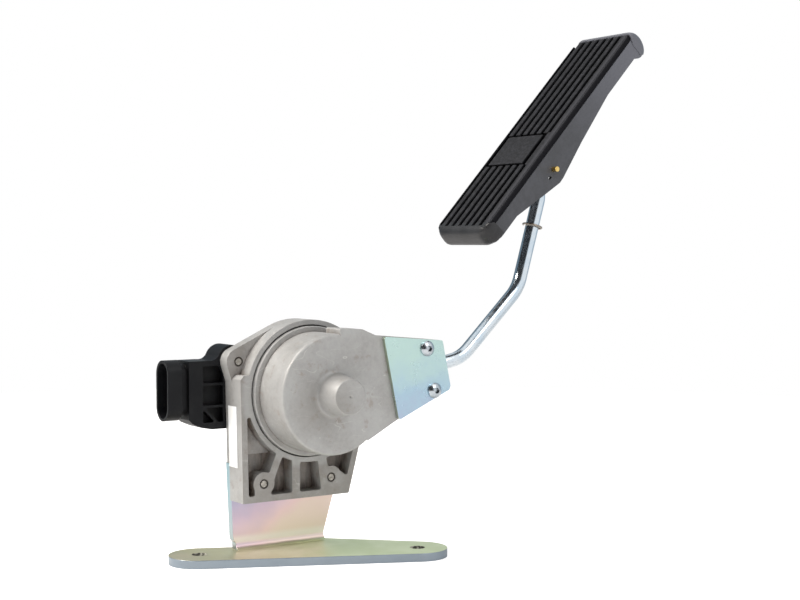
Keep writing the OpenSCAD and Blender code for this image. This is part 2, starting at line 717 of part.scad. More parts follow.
// Straight lengths and true round bends through a list of corners in X and Z. The bends are
// a hair thinner, and each straight length runs a little way over the bend that follows.
bend_thin = 0.06;
bend_lap = 0.3;
module bent_rod(corners, radii, d) {
  n = len(corners);
  dirs = [for (i = [0:n - 2]) (corners[i + 1] - corners[i]) / norm(corners[i + 1] - corners[i])];
  headings = [for (v = dirs) atan2(v[1], v[0])];
  turns = [for (i = [0:n - 1]) i == 0 || i == n - 1 ? 0 : headings[i] - headings[i - 1]];
  cut = [for (i = [0:n - 1]) radii[i] * tan(abs(turns[i]) / 2)];
  for (i = [0:n - 2]) {
    lap = [i > 0 ? bend_lap : 0, i < n - 2 ? bend_lap : 0];
    a = corners[i] + (cut[i] - lap[0]) * dirs[i];
    length = norm(corners[i + 1] - corners[i]) - cut[i] - cut[i + 1] + lap[0] + lap[1];
    translate([a[0], 0, a[1]]) rotate([0, 90 - headings[i], 0]) cylinder(d = d, h = length);
  }
  for (i = [1:n - 2]) {
    start = corners[i] - cut[i] * dirs[i - 1];
    side = sign(turns[i]);
    centre = start + side * radii[i] * [-dirs[i - 1][1], dirs[i - 1][0]];
    first = headings[i - 1] - side * 90;
    low = side > 0 ? first : first + turns[i];
    translate([centre[0], 0, centre[1]]) rotate([90, 0, 0])
      rotate([0, 0, low]) rotate_extrude(angle = abs(turns[i]), $fn = 96)
        translate([radii[i], 0]) circle(d = d - bend_thin, $fn = 48);
  }
}

module pedal_rod() color(steel) at_pivot() translate([0, rod_y, 0]) difference() {
  bent_rod(rod_corners, rod_radii, rod_d);
  translate([pad_pin_dx, 0, pad_pin_dz]) rotate([90, 0, 0])
    cylinder(d = pin_d + 2 * running_gap, h = rod_d + 4, center = true);
}
// Foot pad, drawn with X along its face, Z out of its face and its pin at the origin
module at_pad() {
  at_pivot() translate([pad_pin_dx, rod_y, pad_pin_dz]) rotate([0, -pad_angle, 0]) children();
}

roll_r = 8.5;
module pad_side() {
  roll = [pad_high - roll_r, 4.5];
  rounded(2) polygon(concat(
    [[-pad_low + 5, pad_face], [-pad_low + 0.6, 9], [-pad_low + 1.6, 3.4], [-pad_low + 8, 1.4], [-50, 1.4],
     [-20, -7], [-3, -11.6], [2, -11.4], [35, -5.8], [80, 0]], [[roll[0] - 9, 0]],
    arc(roll, roll_r, -150, 0, 9), [[pad_high, 9], [pad_high - 3, pad_face - 2], [pad_high - 7, pad_face]]));
}

module pad_plan(inset = 0) {
  offset(delta = -inset) rounded(11) translate([-pad_low, -pad_w / 2])
    square([pad_low + pad_high, pad_w]);
}

// The tread's grooves, and the smooth patch that they go round
groove_first = -pad_w / 2 + 9.9;
patch = [-8.5, 21.5];
patch_side = [-17, 24.6];
tread_inset = 0.8;

module tread_grooves() {
  for (g = [[-pad_low + 6, patch[0] - 2], [patch[1] + 2, pad_high + 1]]) for (k = [0:6])
    translate([g[0], groove_first + k * groove_pitch - groove_w / 2])
      square([g[1] - g[0], groove_w]);
  difference() {
    translate([patch[0] - 2, patch_side[0] - 5])
      square([patch[1] - patch[0] + 4, patch_side[1] - patch_side[0] + 10]);
    translate([patch[0], patch_side[0]])
      square([patch[1] - patch[0], patch_side[1] - patch_side[0]]);
  }
}

module pad_tread() color("#2B2B2D") at_pad() difference() {
  intersection() {
    along_y(-pad_w / 2, pad_w / 2) pad_side();
    translate([0, 0, pad_face - tread_t]) {
      linear_extrude(tread_t - 1.3) tread_plan(tread_inset);
      linear_extrude(tread_t - 0.4) tread_plan(tread_inset + 0.5);
      linear_extrude(tread_t + 1) tread_plan(tread_inset + 1.3);
    }
  }
  translate([0, 0, pad_face - groove_depth]) linear_extrude(groove_depth + 2) tread_grooves();
}

// The tread's corner at the far upper end is cut off
module tread_plan(inset) {
  difference() {
    pad_plan(inset);
    translate([pad_high, pad_w / 2]) rotate(45) square([17.6, 40], center = true);
  }
}

module pad_body() color("#4A4B50") at_pad() difference() {
  intersection() {
    along_y(-pad_w / 2, pad_w / 2) pad_side();
    translate([0, 0, -30]) linear_extrude(30 + pad_face - tread_t) pad_plan();
  }
  translate([0, 0, -30]) linear_extrude(30 + pad_face - tread_t - pad_skin) difference() {
    translate([-pad_low + 13, -pad_w / 2 + pad_wall])
      square([pad_low + pad_high - 30, pad_w - 2 * pad_wall]);
    for (s = [-46, 26, 58, 90]) translate([s, 0]) square([2.4, pad_w], center = true);
    for (s = [-1, 1]) translate([2, s * pad_ear_y]) square([46, pad_ear_t], center = true);
    translate([-58, 0]) square([24, 2.4], center = true);
    translate([74, 0]) square([94, 2.4], center = true);
  }
  along_y(-pad_w / 2 - 1, pad_w / 2 + 1) circle(d = pin_d + 2 * seat_gap);
  along_y(-pad_w / 2 - 1, -pad_w / 2 + pad_wall + 1) translate([-7, -2]) square([3, 2], center = true);
}

pad_ear_t = 2.6;
pad_ear_y = rod_d / 2 + 1 + pad_ear_t / 2;

module pad_pin() color("#D8B868") at_pad()
  along_y(-pad_w / 2 - 4.6, pad_w / 2 + 3) circle(d = pin_d);

module pin_retainer() color(steel) at_pad()
  along_y(pad_w / 2 + 0.2, pad_w / 2 + 1.2) difference() {
    circle(d = pin_d + 6);
    circle(d = pin_d + 2 * seat_gap);
  }

// Spring of the pad: a coil round the pin, one leg under the pad and one looped round the rod
pad_coil_r = pin_d / 2 + pad_wire / 2 + 0.7;
pad_coil_y = pad_ear_y + pad_ear_t / 2 + pad_wire / 2 + 0.4;
pad_coil_turns = 4;
neck_dir = (rod_neck - rod_elbow) / norm(rod_neck - rod_elbow);
loop_mid = rod_neck - loop_drop * neck_dir;
loop_across = [neck_dir[1], -neck_dir[0]];
loop_r = rod_d / 2 + pad_wire / 2 + 1.2;
function coil_at(a, y) = [pad_pin_dx + pad_coil_r * cos(a), rod_y + y, pad_pin_dz + pad_coil_r * sin(a)];
function loop_at(a) = [loop_mid[0] + loop_r * cos(a) * loop_across[0], rod_y + loop_r * sin(a),
                       loop_mid[1] + loop_r * cos(a) * loop_across[1]];
// Where the wire meets the coil: from the pad's underside, and on its way down to the rod
spring_foot = [20, pad_face - tread_t - pad_skin - pad_wire / 2 - 0.1];
foot_a = pad_angle + atan2(spring_foot[1], spring_foot[0]) + acos(pad_coil_r / norm(spring_foot));
foot_at = turned(spring_foot, pad_angle);
loop_dir = loop_mid - pad_pin_at;
coil_sweep = atan2(loop_dir[1], loop_dir[0]) - 90 + 360 * pad_coil_turns - foot_a;
module pad_spring() color("#9A8F86") at_pivot() {
  n = ceil(coil_sweep / 30);
  from = coil_at(foot_a + coil_sweep, pad_coil_y);
  to = loop_at(62);
  swept_wire(concat(
    [[pad_pin_dx + foot_at[0], rod_y + pad_coil_y + 8, pad_pin_dz + foot_at[1]]],
    [for (i = [0:n]) coil_at(foot_a + coil_sweep * i / n, pad_coil_y + 8 - i * 8 / n)],
    [for (f = [0.3, 0.6, 0.85])
      [from[0] + (to[0] - from[0]) * f, from[1], from[2] + (to[2] - from[2]) * f]],
    [for (a = [62:20:342]) loop_at(a)]), pad_wire / 2, 6);
}

mounting_bracket();
housing();
bracket_screws();
sensor_screws();
front_bush();
rear_bush();
sensor_body();
sensor_cover();
sensor_board();
sensor_seal();
connector_terminals();
label();
hub_arm();
pivot_shaft();
thrust_washer();
rear_washer();
retaining_clip();
sensor_rotor();
sensor_magnet();
return_spring_outer();
return_spring_inner();
clamp_plate();
clamp_screws();
pedal_rod();
pad_body();
pad_tread();
pad_pin();
pin_retainer();
pad_spring();
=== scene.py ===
"""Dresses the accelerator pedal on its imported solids: a finish for every node, finer rubber, plastic, rod
and wire, a white studio, and a camera at the photograph's angle."""
import json
import math
import bmesh
import bpy
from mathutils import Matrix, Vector


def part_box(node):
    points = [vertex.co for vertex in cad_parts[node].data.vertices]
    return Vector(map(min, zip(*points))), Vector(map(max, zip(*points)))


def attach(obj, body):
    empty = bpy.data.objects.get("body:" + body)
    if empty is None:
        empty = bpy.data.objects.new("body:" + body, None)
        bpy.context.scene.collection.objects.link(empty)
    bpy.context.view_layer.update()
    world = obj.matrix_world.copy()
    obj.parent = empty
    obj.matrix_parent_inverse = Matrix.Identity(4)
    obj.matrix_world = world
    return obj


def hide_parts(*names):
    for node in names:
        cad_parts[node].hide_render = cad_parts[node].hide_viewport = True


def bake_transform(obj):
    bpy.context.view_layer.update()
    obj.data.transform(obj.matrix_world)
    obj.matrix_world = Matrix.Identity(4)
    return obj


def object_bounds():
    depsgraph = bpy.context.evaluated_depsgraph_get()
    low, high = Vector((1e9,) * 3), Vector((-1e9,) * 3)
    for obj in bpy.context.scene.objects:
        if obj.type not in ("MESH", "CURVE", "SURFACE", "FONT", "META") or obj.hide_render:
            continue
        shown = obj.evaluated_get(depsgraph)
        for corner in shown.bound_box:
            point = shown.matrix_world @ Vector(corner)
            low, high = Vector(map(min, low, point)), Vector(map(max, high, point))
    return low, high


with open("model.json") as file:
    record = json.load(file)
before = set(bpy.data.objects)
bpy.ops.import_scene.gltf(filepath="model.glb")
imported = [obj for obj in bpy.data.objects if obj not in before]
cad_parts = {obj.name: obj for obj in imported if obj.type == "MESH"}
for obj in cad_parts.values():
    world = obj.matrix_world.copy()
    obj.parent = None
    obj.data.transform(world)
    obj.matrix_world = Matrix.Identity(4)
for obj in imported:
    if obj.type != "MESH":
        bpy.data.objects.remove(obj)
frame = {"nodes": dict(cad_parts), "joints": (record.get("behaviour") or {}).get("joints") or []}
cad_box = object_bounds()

bl_info = {
    "name": "Accelerator Pedal",
    "version": (1, 0, 0),
    "blender": (4, 5, 0),
    "location": "3D View > Sidebar > Pedal",
    "description": "Builds the finishes and finer pieces of an accelerator pedal on its packed solids",
    "category": "Object",
}

MM = 0.001


def linear(code):
    """The linear colour of an sRGB hex value."""
    parts = [int(code[i:i + 2], 16) / 255 for i in (1, 3, 5)]
    return tuple(c / 12.92 if c <= 0.04045 else ((c + 0.055) / 1.055) ** 2.4 for c in parts)


def colour(name, description, code):
    """A colour that a user can change, with its default as an sRGB hex value."""
    return bpy.props.FloatVectorProperty(
        name=name, description=description, default=linear(code), subtype="COLOR", size=3, min=0, max=1)


def length(name, description, mm):
    """A length that a user can change, with its default in millimetres."""
    return bpy.props.FloatProperty(
        name=name, description=description, default=mm * MM, min=0, unit="LENGTH", subtype="DISTANCE",
        precision=5)


class PedalColours(bpy.types.PropertyGroup):
    """Main colours of the finishes."""
    casting: colour("Casting", "Raw aluminium of the housing and the lever", "#A1A1A0")
    # Painted shade in the pockets, streaked with oil
    casting_shade: colour("Casting pockets", "Dust and oil that stay in the pockets", "#4B3B31")
    chromate: colour("Chromate", "Yellow chromate film on the top of the bracket plate", "#CFDBB0")
    chromate_pink: colour("Chromate pink", "The same film where it turns pink, on the leg", "#D1BCCD")
    chromate_blue: colour("Chromate blue", "The same film where it turns blue, on the edges", "#909BA5")
    zinc: colour("Clear zinc", "Blue passivated zinc of the rod", "#DCE4EA")
    clamp: colour("Clamp zinc", "Blue passivated zinc of the clamp plate", "#B0CBDC")
    sensor: colour("Sensor plastic", "Black glass filled plastic", "#0F1013")
    tread: colour("Tread rubber", "Black rubber of the ribbed tread", "#1F1F21")
    pad: colour("Pad plastic", "Grey black plastic of the pad's body", "#3A3B3F")
    brass: colour("Brass", "Brass plating of the hinge pin", "#E8CC84")
    label: colour("Label", "Blank white label", "#E4E6E8")


class PedalSizes(bpy.types.PropertyGroup):
    """Sizes of the details that the solids leave plain."""
    tread_round: length("Tread rounding", "Radius along the edges of the rubber ribs", 0.55)
    pad_round: length("Pad rounding", "Radius along the edges of the pad's body", 0.5)
    clamp_round: length("Clamp plate rounding", "Radius along the edges of the clamp plate", 0.45)
    casting_round: length("Casting rounding", "Radius along the edges of the castings", 0.3)
    bracket_round: length("Bracket rounding", "Radius along the edges of the bracket", 0.7)
    pad_wire: length("Pad spring wire", "Diameter of the pad spring's wire", 1.6)


def colours():
    return bpy.context.scene.pedal_colours


def sizes():
    return bpy.context.scene.pedal_sizes


# Materials
def add_node(tree, kind, inputs=None, **settings):
    """Adds a node with its settings. Its inputs are values, or outputs of other nodes to link."""
    node = tree.nodes.new(kind)
    for name, value in settings.items():
        setattr(node, name, value)
    for socket, value in (inputs or {}).items():
        if isinstance(value, bpy.types.NodeSocket):
            tree.links.new(value, node.inputs[socket])
        else:
            node.inputs[socket].default_value = value
    return node


def opaque(rgb):
    return (*rgb, 1.0)


def ramp(tree, factor, stops):
    """Turns a factor into a colour, by pairs of place and colour."""
    node = add_node(tree, "ShaderNodeValToRGB", {"Fac": factor})
    elements = node.color_ramp.elements
    while len(elements) < len(stops):
        elements.new(0.5)
    for element, (place, rgb) in zip(elements, stops):
        element.position = place
        element.color = opaque(rgb)
    return node.outputs["Color"]


def begin(name, **sockets):
    """A new material with a Principled shader.

    Returns the material, its tree, the shader and the coordinates."""
    material = bpy.data.materials.new(name)
    material.use_nodes = True
    tree = material.node_tree
    tree.nodes.clear()
    shader = add_node(tree, "ShaderNodeBsdfPrincipled", sockets)
    add_node(tree, "ShaderNodeOutputMaterial", {"Surface": shader.outputs[0]})
    place = add_node(tree, "ShaderNodeTexCoord")
    return material, tree, shader, place


def noise(tree, place, mm, detail=2.0, rough=0.5, squash=None):
    """Noise whose lumps are about mm across, and stretched by squash along an axis."""
    vector = place.outputs["Object"]
    if squash:
        vector = add_node(tree, "ShaderNodeMapping", {"Vector": vector, "Scale": squash}).outputs[0]
    return add_node(tree, "ShaderNodeTexNoise", {
        "Vector": vector, "Scale": 1 / (mm * MM), "Detail": detail, "Roughness": rough}).outputs["Fac"]


def axes(tree, vector):
    """The parts of a vector, by the names X, Y and Z."""
    return add_node(tree, "ShaderNodeSeparateXYZ", {"Vector": vector}).outputs


def vector_math(tree, operation, first, second, output=0):
    """Combines two vectors. Distances and dot products are in the output Value."""
    return add_node(tree, "ShaderNodeVectorMath", {0: first, 1: second}, operation=operation).outputs[output]


def distance(tree, place, plane, point):
    """How far the surface lies from a point within a plane, which is given by a 0 for the axis left out."""
    flat = vector_math(tree, "MULTIPLY", place.outputs["Object"], plane)
    return vector_math(tree, "DISTANCE", flat, point, "Value")


def blend(tree, factor, first, second):
    """Mixes two colours, which are values or outputs of other nodes."""
    first, second = (c if isinstance(c, bpy.types.NodeSocket) else opaque(c) for c in (first, second))
    return add_node(tree, "ShaderNodeMix", {0: factor, 6: first, 7: second}, data_type="RGBA").outputs[2]


def spread(tree, value, low, high, to_low=0.0, to_high=1.0):
    """Spreads the values from low to high over to_low to to_high, and keeps within them."""
    return add_node(tree, "ShaderNodeMapRange", {
        "Value": value, "From Min": low, "From Max": high, "To Min": to_low, "To Max": to_high},
        interpolation_type="SMOOTHSTEP").outputs[0]


def relief(tree, shader, heights, edge_mm=0.0):
    """Bumps the surface by a list of (height, depth in millimetres), over softened edges."""
    normal = None
    if edge_mm:
        normal = add_node(tree, "ShaderNodeBevel", {"Radius": edge_mm * MM}, samples=6).outputs[0]
    for height, depth in heights:
        inputs = {"Height": height, "Distance": depth * MM, "Strength": 1.0}
        if normal is not None:
            inputs["Normal"] = normal
        normal = add_node(tree, "ShaderNodeBump", inputs).outputs[0]
    tree.links.new(normal, shader.inputs["Normal"])


def hollows(tree, mm, open_at=0.85, closed_at=0.2):
    """How deep in a corner or pocket a point lies, looking mm far: 0 in the open and 1 in a hollow."""
    seen = add_node(tree, "ShaderNodeAmbientOcclusion", {"Distance": mm * MM}, samples=6, only_local=True)
    return spread(tree, seen.outputs["AO"], closed_at, open_at, 1, 0)


def times(tree, first, second, operation="MULTIPLY"):
    """Multiplies two values, or combines them by another operation."""
    return add_node(tree, "ShaderNodeMath", {0: first, 1: second}, operation=operation).outputs[0]


# Millimetres from the swing axis where the painted shade of the front planes starts and is full, and
# from the middle of the boss's painted shadow on the lever's face where that shadow starts and is full,
# with that middle in X and Z from the axis
FRONT_SHADE_REACH = (53, 58)
BOSS_SHADOW_REACH = (30, 5)
BOSS_SHADOW_MIDDLE = (-15, -9)


def raw_die_casting(name, pocket_shade, front_shade, boss_shadow=0.0):
    """Die cast aluminium, tumbled and left bare: a warm grey that is soft to the light, with a fine
    grain, faint flow marks, handling scratches and stains, painted shade in its pockets streaked with
    oil, and painted shade in its inner corners.

    The shades are from 0 to 1: of the painted shade in the pockets, of the painted shade on the front
    planes, and of the painted shadow of the boss on the lever's face."""
    c = colours()
    material, tree, shader, place = begin(name, Metallic=0.3)
    flow = spread(tree, noise(tree, place, 26, 4, 0.6), 0.35, 0.7)
    base = blend(tree, flow, c.casting, linear("#949391"))
    mottle = spread(tree, noise(tree, place, 2.2, 4, 0.7), 0.3, 0.72, 0.0, 0.28)
    base = blend(tree, mottle, base, linear("#B2B0AD"))
    stain = spread(tree, noise(tree, place, 9, 4, 0.7), 0.56, 0.74, 0, 0.5)
    base = blend(tree, stain, base, linear("#85796E"))
    # Handling scratches: thin bent lines where a noise passes its middle, in patches
    bent = noise(tree, place, 13, 1, 0.4, (0.6, 1.0, 1.6))
    off_middle = times(tree, times(tree, bent, 0.5, "SUBTRACT"), 0.0, "ABSOLUTE")
    patch = spread(tree, noise(tree, place, 15, 2), 0.52, 0.62)
    scratch = times(tree, spread(tree, off_middle, 0.006, 0.001, 0, 0.4), patch)
    base = blend(tree, scratch, base, linear("#D9D7D3"))
    # Painted shade darkens the machined front planes, in blotches
    front = axes(tree, place.outputs["Normal"])["Y"]
    dull = times(tree, spread(tree, front, -0.8, -0.97, 0, front_shade),
                 spread(tree, noise(tree, place, 12, 4, 0.65), 0.3, 0.6, 0.6, 1))
    # The painted shade fades out near the swing axis, so the rim round the drum stays light
    hub = joint_at("lever_swing")
    from_hub, from_shadow_middle = (distance(tree, place, (1, 0, 1), (hub.x + x * MM, 0, hub.z + z * MM))
                           for x, z in ((0, 0), BOSS_SHADOW_MIDDLE))
    unshaded, shaded = (mm * MM for mm in FRONT_SHADE_REACH)
    dull = times(tree, dull, spread(tree, from_hub, unshaded, shaded, 0.1, 1))
    base = blend(tree, dull, base, linear("#6F675F"))
    # Painted shadow of the boss on the lever's face, to the boss's lower left
    bare, dusty = (mm * MM for mm in BOSS_SHADOW_REACH)
    boss_shadow_mask = times(tree, spread(tree, front, -0.6, -0.9), spread(tree, from_shadow_middle, bare, dusty, 0, boss_shadow))
    base = blend(tree, boss_shadow_mask, base, linear("#79756F"))
    # Painted shade in the pockets, darker the deeper they close in, streaked with oil
    streak = noise(tree, place, 3.4, 3, 0.6, (1.0, 1.0, 0.22))
    oil = blend(tree, spread(tree, streak, 0.38, 0.62), c.casting_shade, linear("#8B7E72"))
    deep = times(tree, hollows(tree, 14, 0.74), pocket_shade)
    base = blend(tree, deep, base, oil)
    # Painted shade: a dark line in each inner corner
    base = blend(tree, times(tree, hollows(tree, 2.2, 0.75, 0.3), 0.6), base, linear("#4A4039"))
    tree.links.new(base, shader.inputs["Base Color"])
    rough = spread(tree, noise(tree, place, 5, 3), 0.3, 0.7, 0.4, 0.58)
    tree.links.new(rough, shader.inputs["Roughness"])
    # The grain of the die is about 0.15 mm, drawn at 0.6 mm so that it shows
    relief(tree, shader, [(noise(tree, place, 0.6, 2), 0.045), (noise(tree, place, 11, 2), 0.22)],
           edge_mm=sizes().casting_round / MM)
    return material


# The right fixing hole's turn from X and distance from the origin; the left hole lies opposite
HOLE_TURN = math.radians(-25)
HOLE_REACH = 79
HOLE_PLACE = Vector((math.cos(HOLE_TURN), math.sin(HOLE_TURN), 0)) * HOLE_REACH * MM
# Millimetres from a hole's axis where its wall's look starts and is full
HOLE_WALL = (6.5, 5.9)


def yellow_chromated_zinc():
    """Steel sheet, zinc plated and yellow chromated: a thin film that turns from yellow green to pink
    and blue with its thickness, over a bright smooth metal."""
    c = colours()
    material, tree, shader, place = begin("yellow_chromated_zinc")
    at = axes(tree, place.outputs["Object"])
    facing = axes(tree, place.outputs["Normal"])
    low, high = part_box("mounting_bracket")
    film = noise(tree, place, 34, 3, 0.55)
    along = times(tree, spread(tree, at["X"], low.x, high.x), times(tree, film, 0.5), "ADD")
    top = ramp(tree, along, [(0.1, linear("#E0D3B4")), (0.32, linear("#CBC6A0")), (0.6, linear("#D8DAB8")),
                             (0.85, c.chromate), (1, linear("#C4D2A4"))])
    # On the leg the film runs from lilac at its upper left to peach at its lower right
    rise = spread(tree, at["Z"], 8 * MM, high.z, 0.55, 0)
    right = spread(tree, at["X"], -45 * MM, 35 * MM, 0, 0.5)
    lean = times(tree, times(tree, rise, right, "ADD"), times(tree, film, 0.4), "ADD")
    leg = ramp(tree, lean, [(0.15, linear("#A3ABC6")), (0.42, linear("#ADADC6")), (0.62, c.chromate_pink),
                            (0.85, linear("#EACDCD")), (1, linear("#EBD6CC"))])
    base = blend(tree, spread(tree, facing["Z"], 0.55, 0.9), leg, top)
    # The sheared edges are blue, and the leg's left one greener
    plate = spread(tree, at["Z"], 11 * MM, 7 * MM)
    sideways = spread(tree, facing["Z"], 0.5, 0.1)
    base = blend(tree, times(tree, plate, sideways), base, c.chromate_blue)
    leftward = times(tree, spread(tree, facing["X"], -0.6, -0.9), spread(tree, plate, 1, 0))
    base = blend(tree, times(tree, leftward, 0.7), base, linear("#8FB4B4"))
    # Painted highlight: a pale band above the fold's inner corner, on the faces turned to the front
    fold_highlight = times(tree, spread(tree, at["Z"], 9.5 * MM, 12 * MM), spread(tree, at["Z"], 18 * MM, 13 * MM))
    fold_highlight = times(tree, fold_highlight, spread(tree, facing["Y"], -0.3, -0.7, 0, 0.75))
    base = blend(tree, fold_highlight, base, linear("#F2E9E6"))
    # Painted shade: olive in the inner corner of the fold
    closed = hollows(tree, 5, 0.75, 0.3)
    base = blend(tree, times(tree, closed, 0.75), base, linear("#A39A72"))
    # Painted reflection and shade: light and dark patches on the walls of the fixing holes
    holes = (distance(tree, place, (1, 1, 0), HOLE_PLACE * way) for way in (-1, 1))
    outside, inside = (mm * MM for mm in HOLE_WALL)
    punched = times(tree, spread(tree, times(tree, *holes, "MINIMUM"), outside, inside), sideways)
    patchy = spread(tree, noise(tree, place, 3.5, 2), 0.42, 0.56)
    hole_reflection_and_shade = blend(tree, patchy, linear("#BDBBAE"), linear("#4E4D47"))
    tree.links.new(blend(tree, punched, base, hole_reflection_and_shade), shader.inputs["Base Color"])
    # Dust dulls the metal there and in the fold
    dusty = times(tree, closed, punched, "MAXIMUM")
    tree.links.new(spread(tree, dusty, 0.2, 0.8, 0.8, 0.1), shader.inputs["Metallic"])
    rough = spread(tree, noise(tree, place, 14, 2), 0.3, 0.7, 0.28, 0.38)
    tree.links.new(rough, shader.inputs["Roughness"])
    # Rolled sheet is smooth, with long ripples of a few hundredths of a millimetre
    relief(tree, shader, [(noise(tree, place, 20, 1), 0.02)], edge_mm=sizes().bracket_round / MM)
    return material


def zinc_finish(name, main, second, roughness, ripple_mm):
    """Steel, zinc plated and blue passivated: a bright smooth metal with a cool tint that drifts."""
    material, tree, shader, place = begin(name, Metallic=1.0)
    tint = spread(tree, noise(tree, place, 18, 3, 0.6), 0.35, 0.68)
    tree.links.new(blend(tree, tint, main, second), shader.inputs["Base Color"])
    rough = spread(tree, noise(tree, place, 4, 3, 0.6), 0.3, 0.7, roughness * 0.75, roughness * 1.3)
    tree.links.new(rough, shader.inputs["Roughness"])
    relief(tree, shader, [(noise(tree, place, ripple_mm), 0.03)], edge_mm=0.4)
    return material


def clamp_zinc():
    """Pressed sheet, zinc plated with a thick blue passivation: pale blue in the middle, and greener
    along the top and its sheared border."""
    material, tree, shader, place = begin("clear_zinc_clamp", Metallic=0.9)
    low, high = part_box("clamp_plate")
    film = noise(tree, place, 15, 3, 0.6)
    rise = spread(tree, axes(tree, place.outputs["Object"])["Z"], low.z, high.z, 0, 0.7)
    rise = times(tree, rise, times(tree, film, 0.6), "ADD")
    base = ramp(tree, rise, [(0.15, linear("#B2BCD4")), (0.45, colours().clamp), (0.7, linear("#BAD5D8")),
                             (0.95, linear("#C0DBD6"))])
    border = spread(tree, axes(tree, place.outputs["Normal"])["Y"], -0.9, -0.55)
    base = blend(tree, times(tree, border, 0.6), base, linear("#B9BF9A"))
    tree.links.new(base, shader.inputs["Base Color"])
    tree.links.new(spread(tree, noise(tree, place, 9, 1), 0.3, 0.7, 0.27, 0.34), shader.inputs["Roughness"])
    relief(tree, shader, [(noise(tree, place, 14, 1), 0.012)])
    return material


def moulded_plastic(name, main, second, roughness, edge_mm=0.5, grain_mm=0.5, grain_depth=0.02, gloss=0.5,
                    shade_mm=0):
    """Injection moulded plastic: an even tone with a fine spark eroded grain and soft sheen."""
    material, tree, shader, place = begin(name, **{"Roughness": roughness, "Specular IOR Level": gloss})
    drift = spread(tree, noise(tree, place, 14, 3, 0.6), 0.35, 0.7)
    base = blend(tree, drift, main, second)
    # Painted shade darkens the hollows, when a reach is given for it
    if shade_mm:
        base = blend(tree, hollows(tree, shade_mm, 0.85, 0.3), base, linear("#040405"))
    tree.links.new(base, shader.inputs["Base Color"])
    relief(tree, shader, [(noise(tree, place, grain_mm, 2), grain_depth)], edge_mm=edge_mm)
    return material


# The radius of the screws that go through the ear and the leg, and where the painted shade of the
# gap round them starts and is full, inward from that radius
SCREW_RADIUS = 3.0
SCREW_GAP = (0.9, 0.35)


def screw_end(name, centres):
    """The dull end of a plated screw in its bore, with specks of grit and painted shade of the gap round it.
    """
    material, tree, shader, place = begin(name, Metallic=0.45)
    drift = spread(tree, noise(tree, place, 3, 3, 0.65), 0.35, 0.65)
    base = blend(tree, drift, linear("#B5B1A9"), linear("#8F8B84"))
    specks = spread(tree, noise(tree, place, 1.7, 2, 0.6), 0.56, 0.66, 0, 0.8)
    base = blend(tree, specks, base, linear("#4C473F"))
    ends = (distance(tree, place, (1, 0, 1), (x, 0, z)) for x, z in centres)
    starts, full = ((SCREW_RADIUS - mm) * MM for mm in SCREW_GAP)
    front = axes(tree, place.outputs["Normal"])["Y"]
    gap = times(tree, spread(tree, times(tree, *ends, "MINIMUM"), starts, full),
                spread(tree, front, -0.5, -0.8))
    # Painted shade of the gap round the screw, on its end
    base = blend(tree, gap, base, linear("#28231F"))
    tree.links.new(base, shader.inputs["Base Color"])
    tree.links.new(spread(tree, gap, 0, 1, 0.42, 0.8), shader.inputs["Roughness"])
    relief(tree, shader, [(noise(tree, place, 1.2), 0.03)])
    return material


def plain_metal(name, main, second, metallic, roughness, corner_shade=None):
    """A turned, pressed or sintered metal with a fine drift of tone, dull spots, and painted shade in its
    corners if a colour is given for it."""
    material, tree, shader, place = begin(name, Metallic=metallic)
    drift = spread(tree, noise(tree, place, 5, 3, 0.6), 0.35, 0.7)
    base = blend(tree, drift, main, second)
    # Painted shade in the corners, in the colour given
    if corner_shade:
        base = blend(tree, hollows(tree, 1.6, 0.8, 0.35), base, corner_shade)
    tree.links.new(base, shader.inputs["Base Color"])
    rough = spread(tree, noise(tree, place, 1.5, 3), 0.3, 0.7, roughness * 0.8, roughness * 1.25)
    tree.links.new(rough, shader.inputs["Roughness"])
    relief(tree, shader, [(noise(tree, place, 0.8), 0.012)], edge_mm=0.3)
    return material


# The pad's slope at rest, its face in millimetres out from the hinge pin, and the depth of its grooves
PAD_ANGLE = math.radians(47.3)
PAD_FACE = 16.8
GROOVE_DEPTH = 2.8
PAD_ALONG = (math.cos(PAD_ANGLE), 0, math.sin(PAD_ANGLE))
PAD_OUT = (-math.sin(PAD_ANGLE), 0, math.cos(PAD_ANGLE))


def from_pin(tree, place):
    """The surface's place, seen from the hinge pin."""
    return vector_math(tree, "SUBTRACT", place.outputs["Object"], joint_at("pad_tilt"))


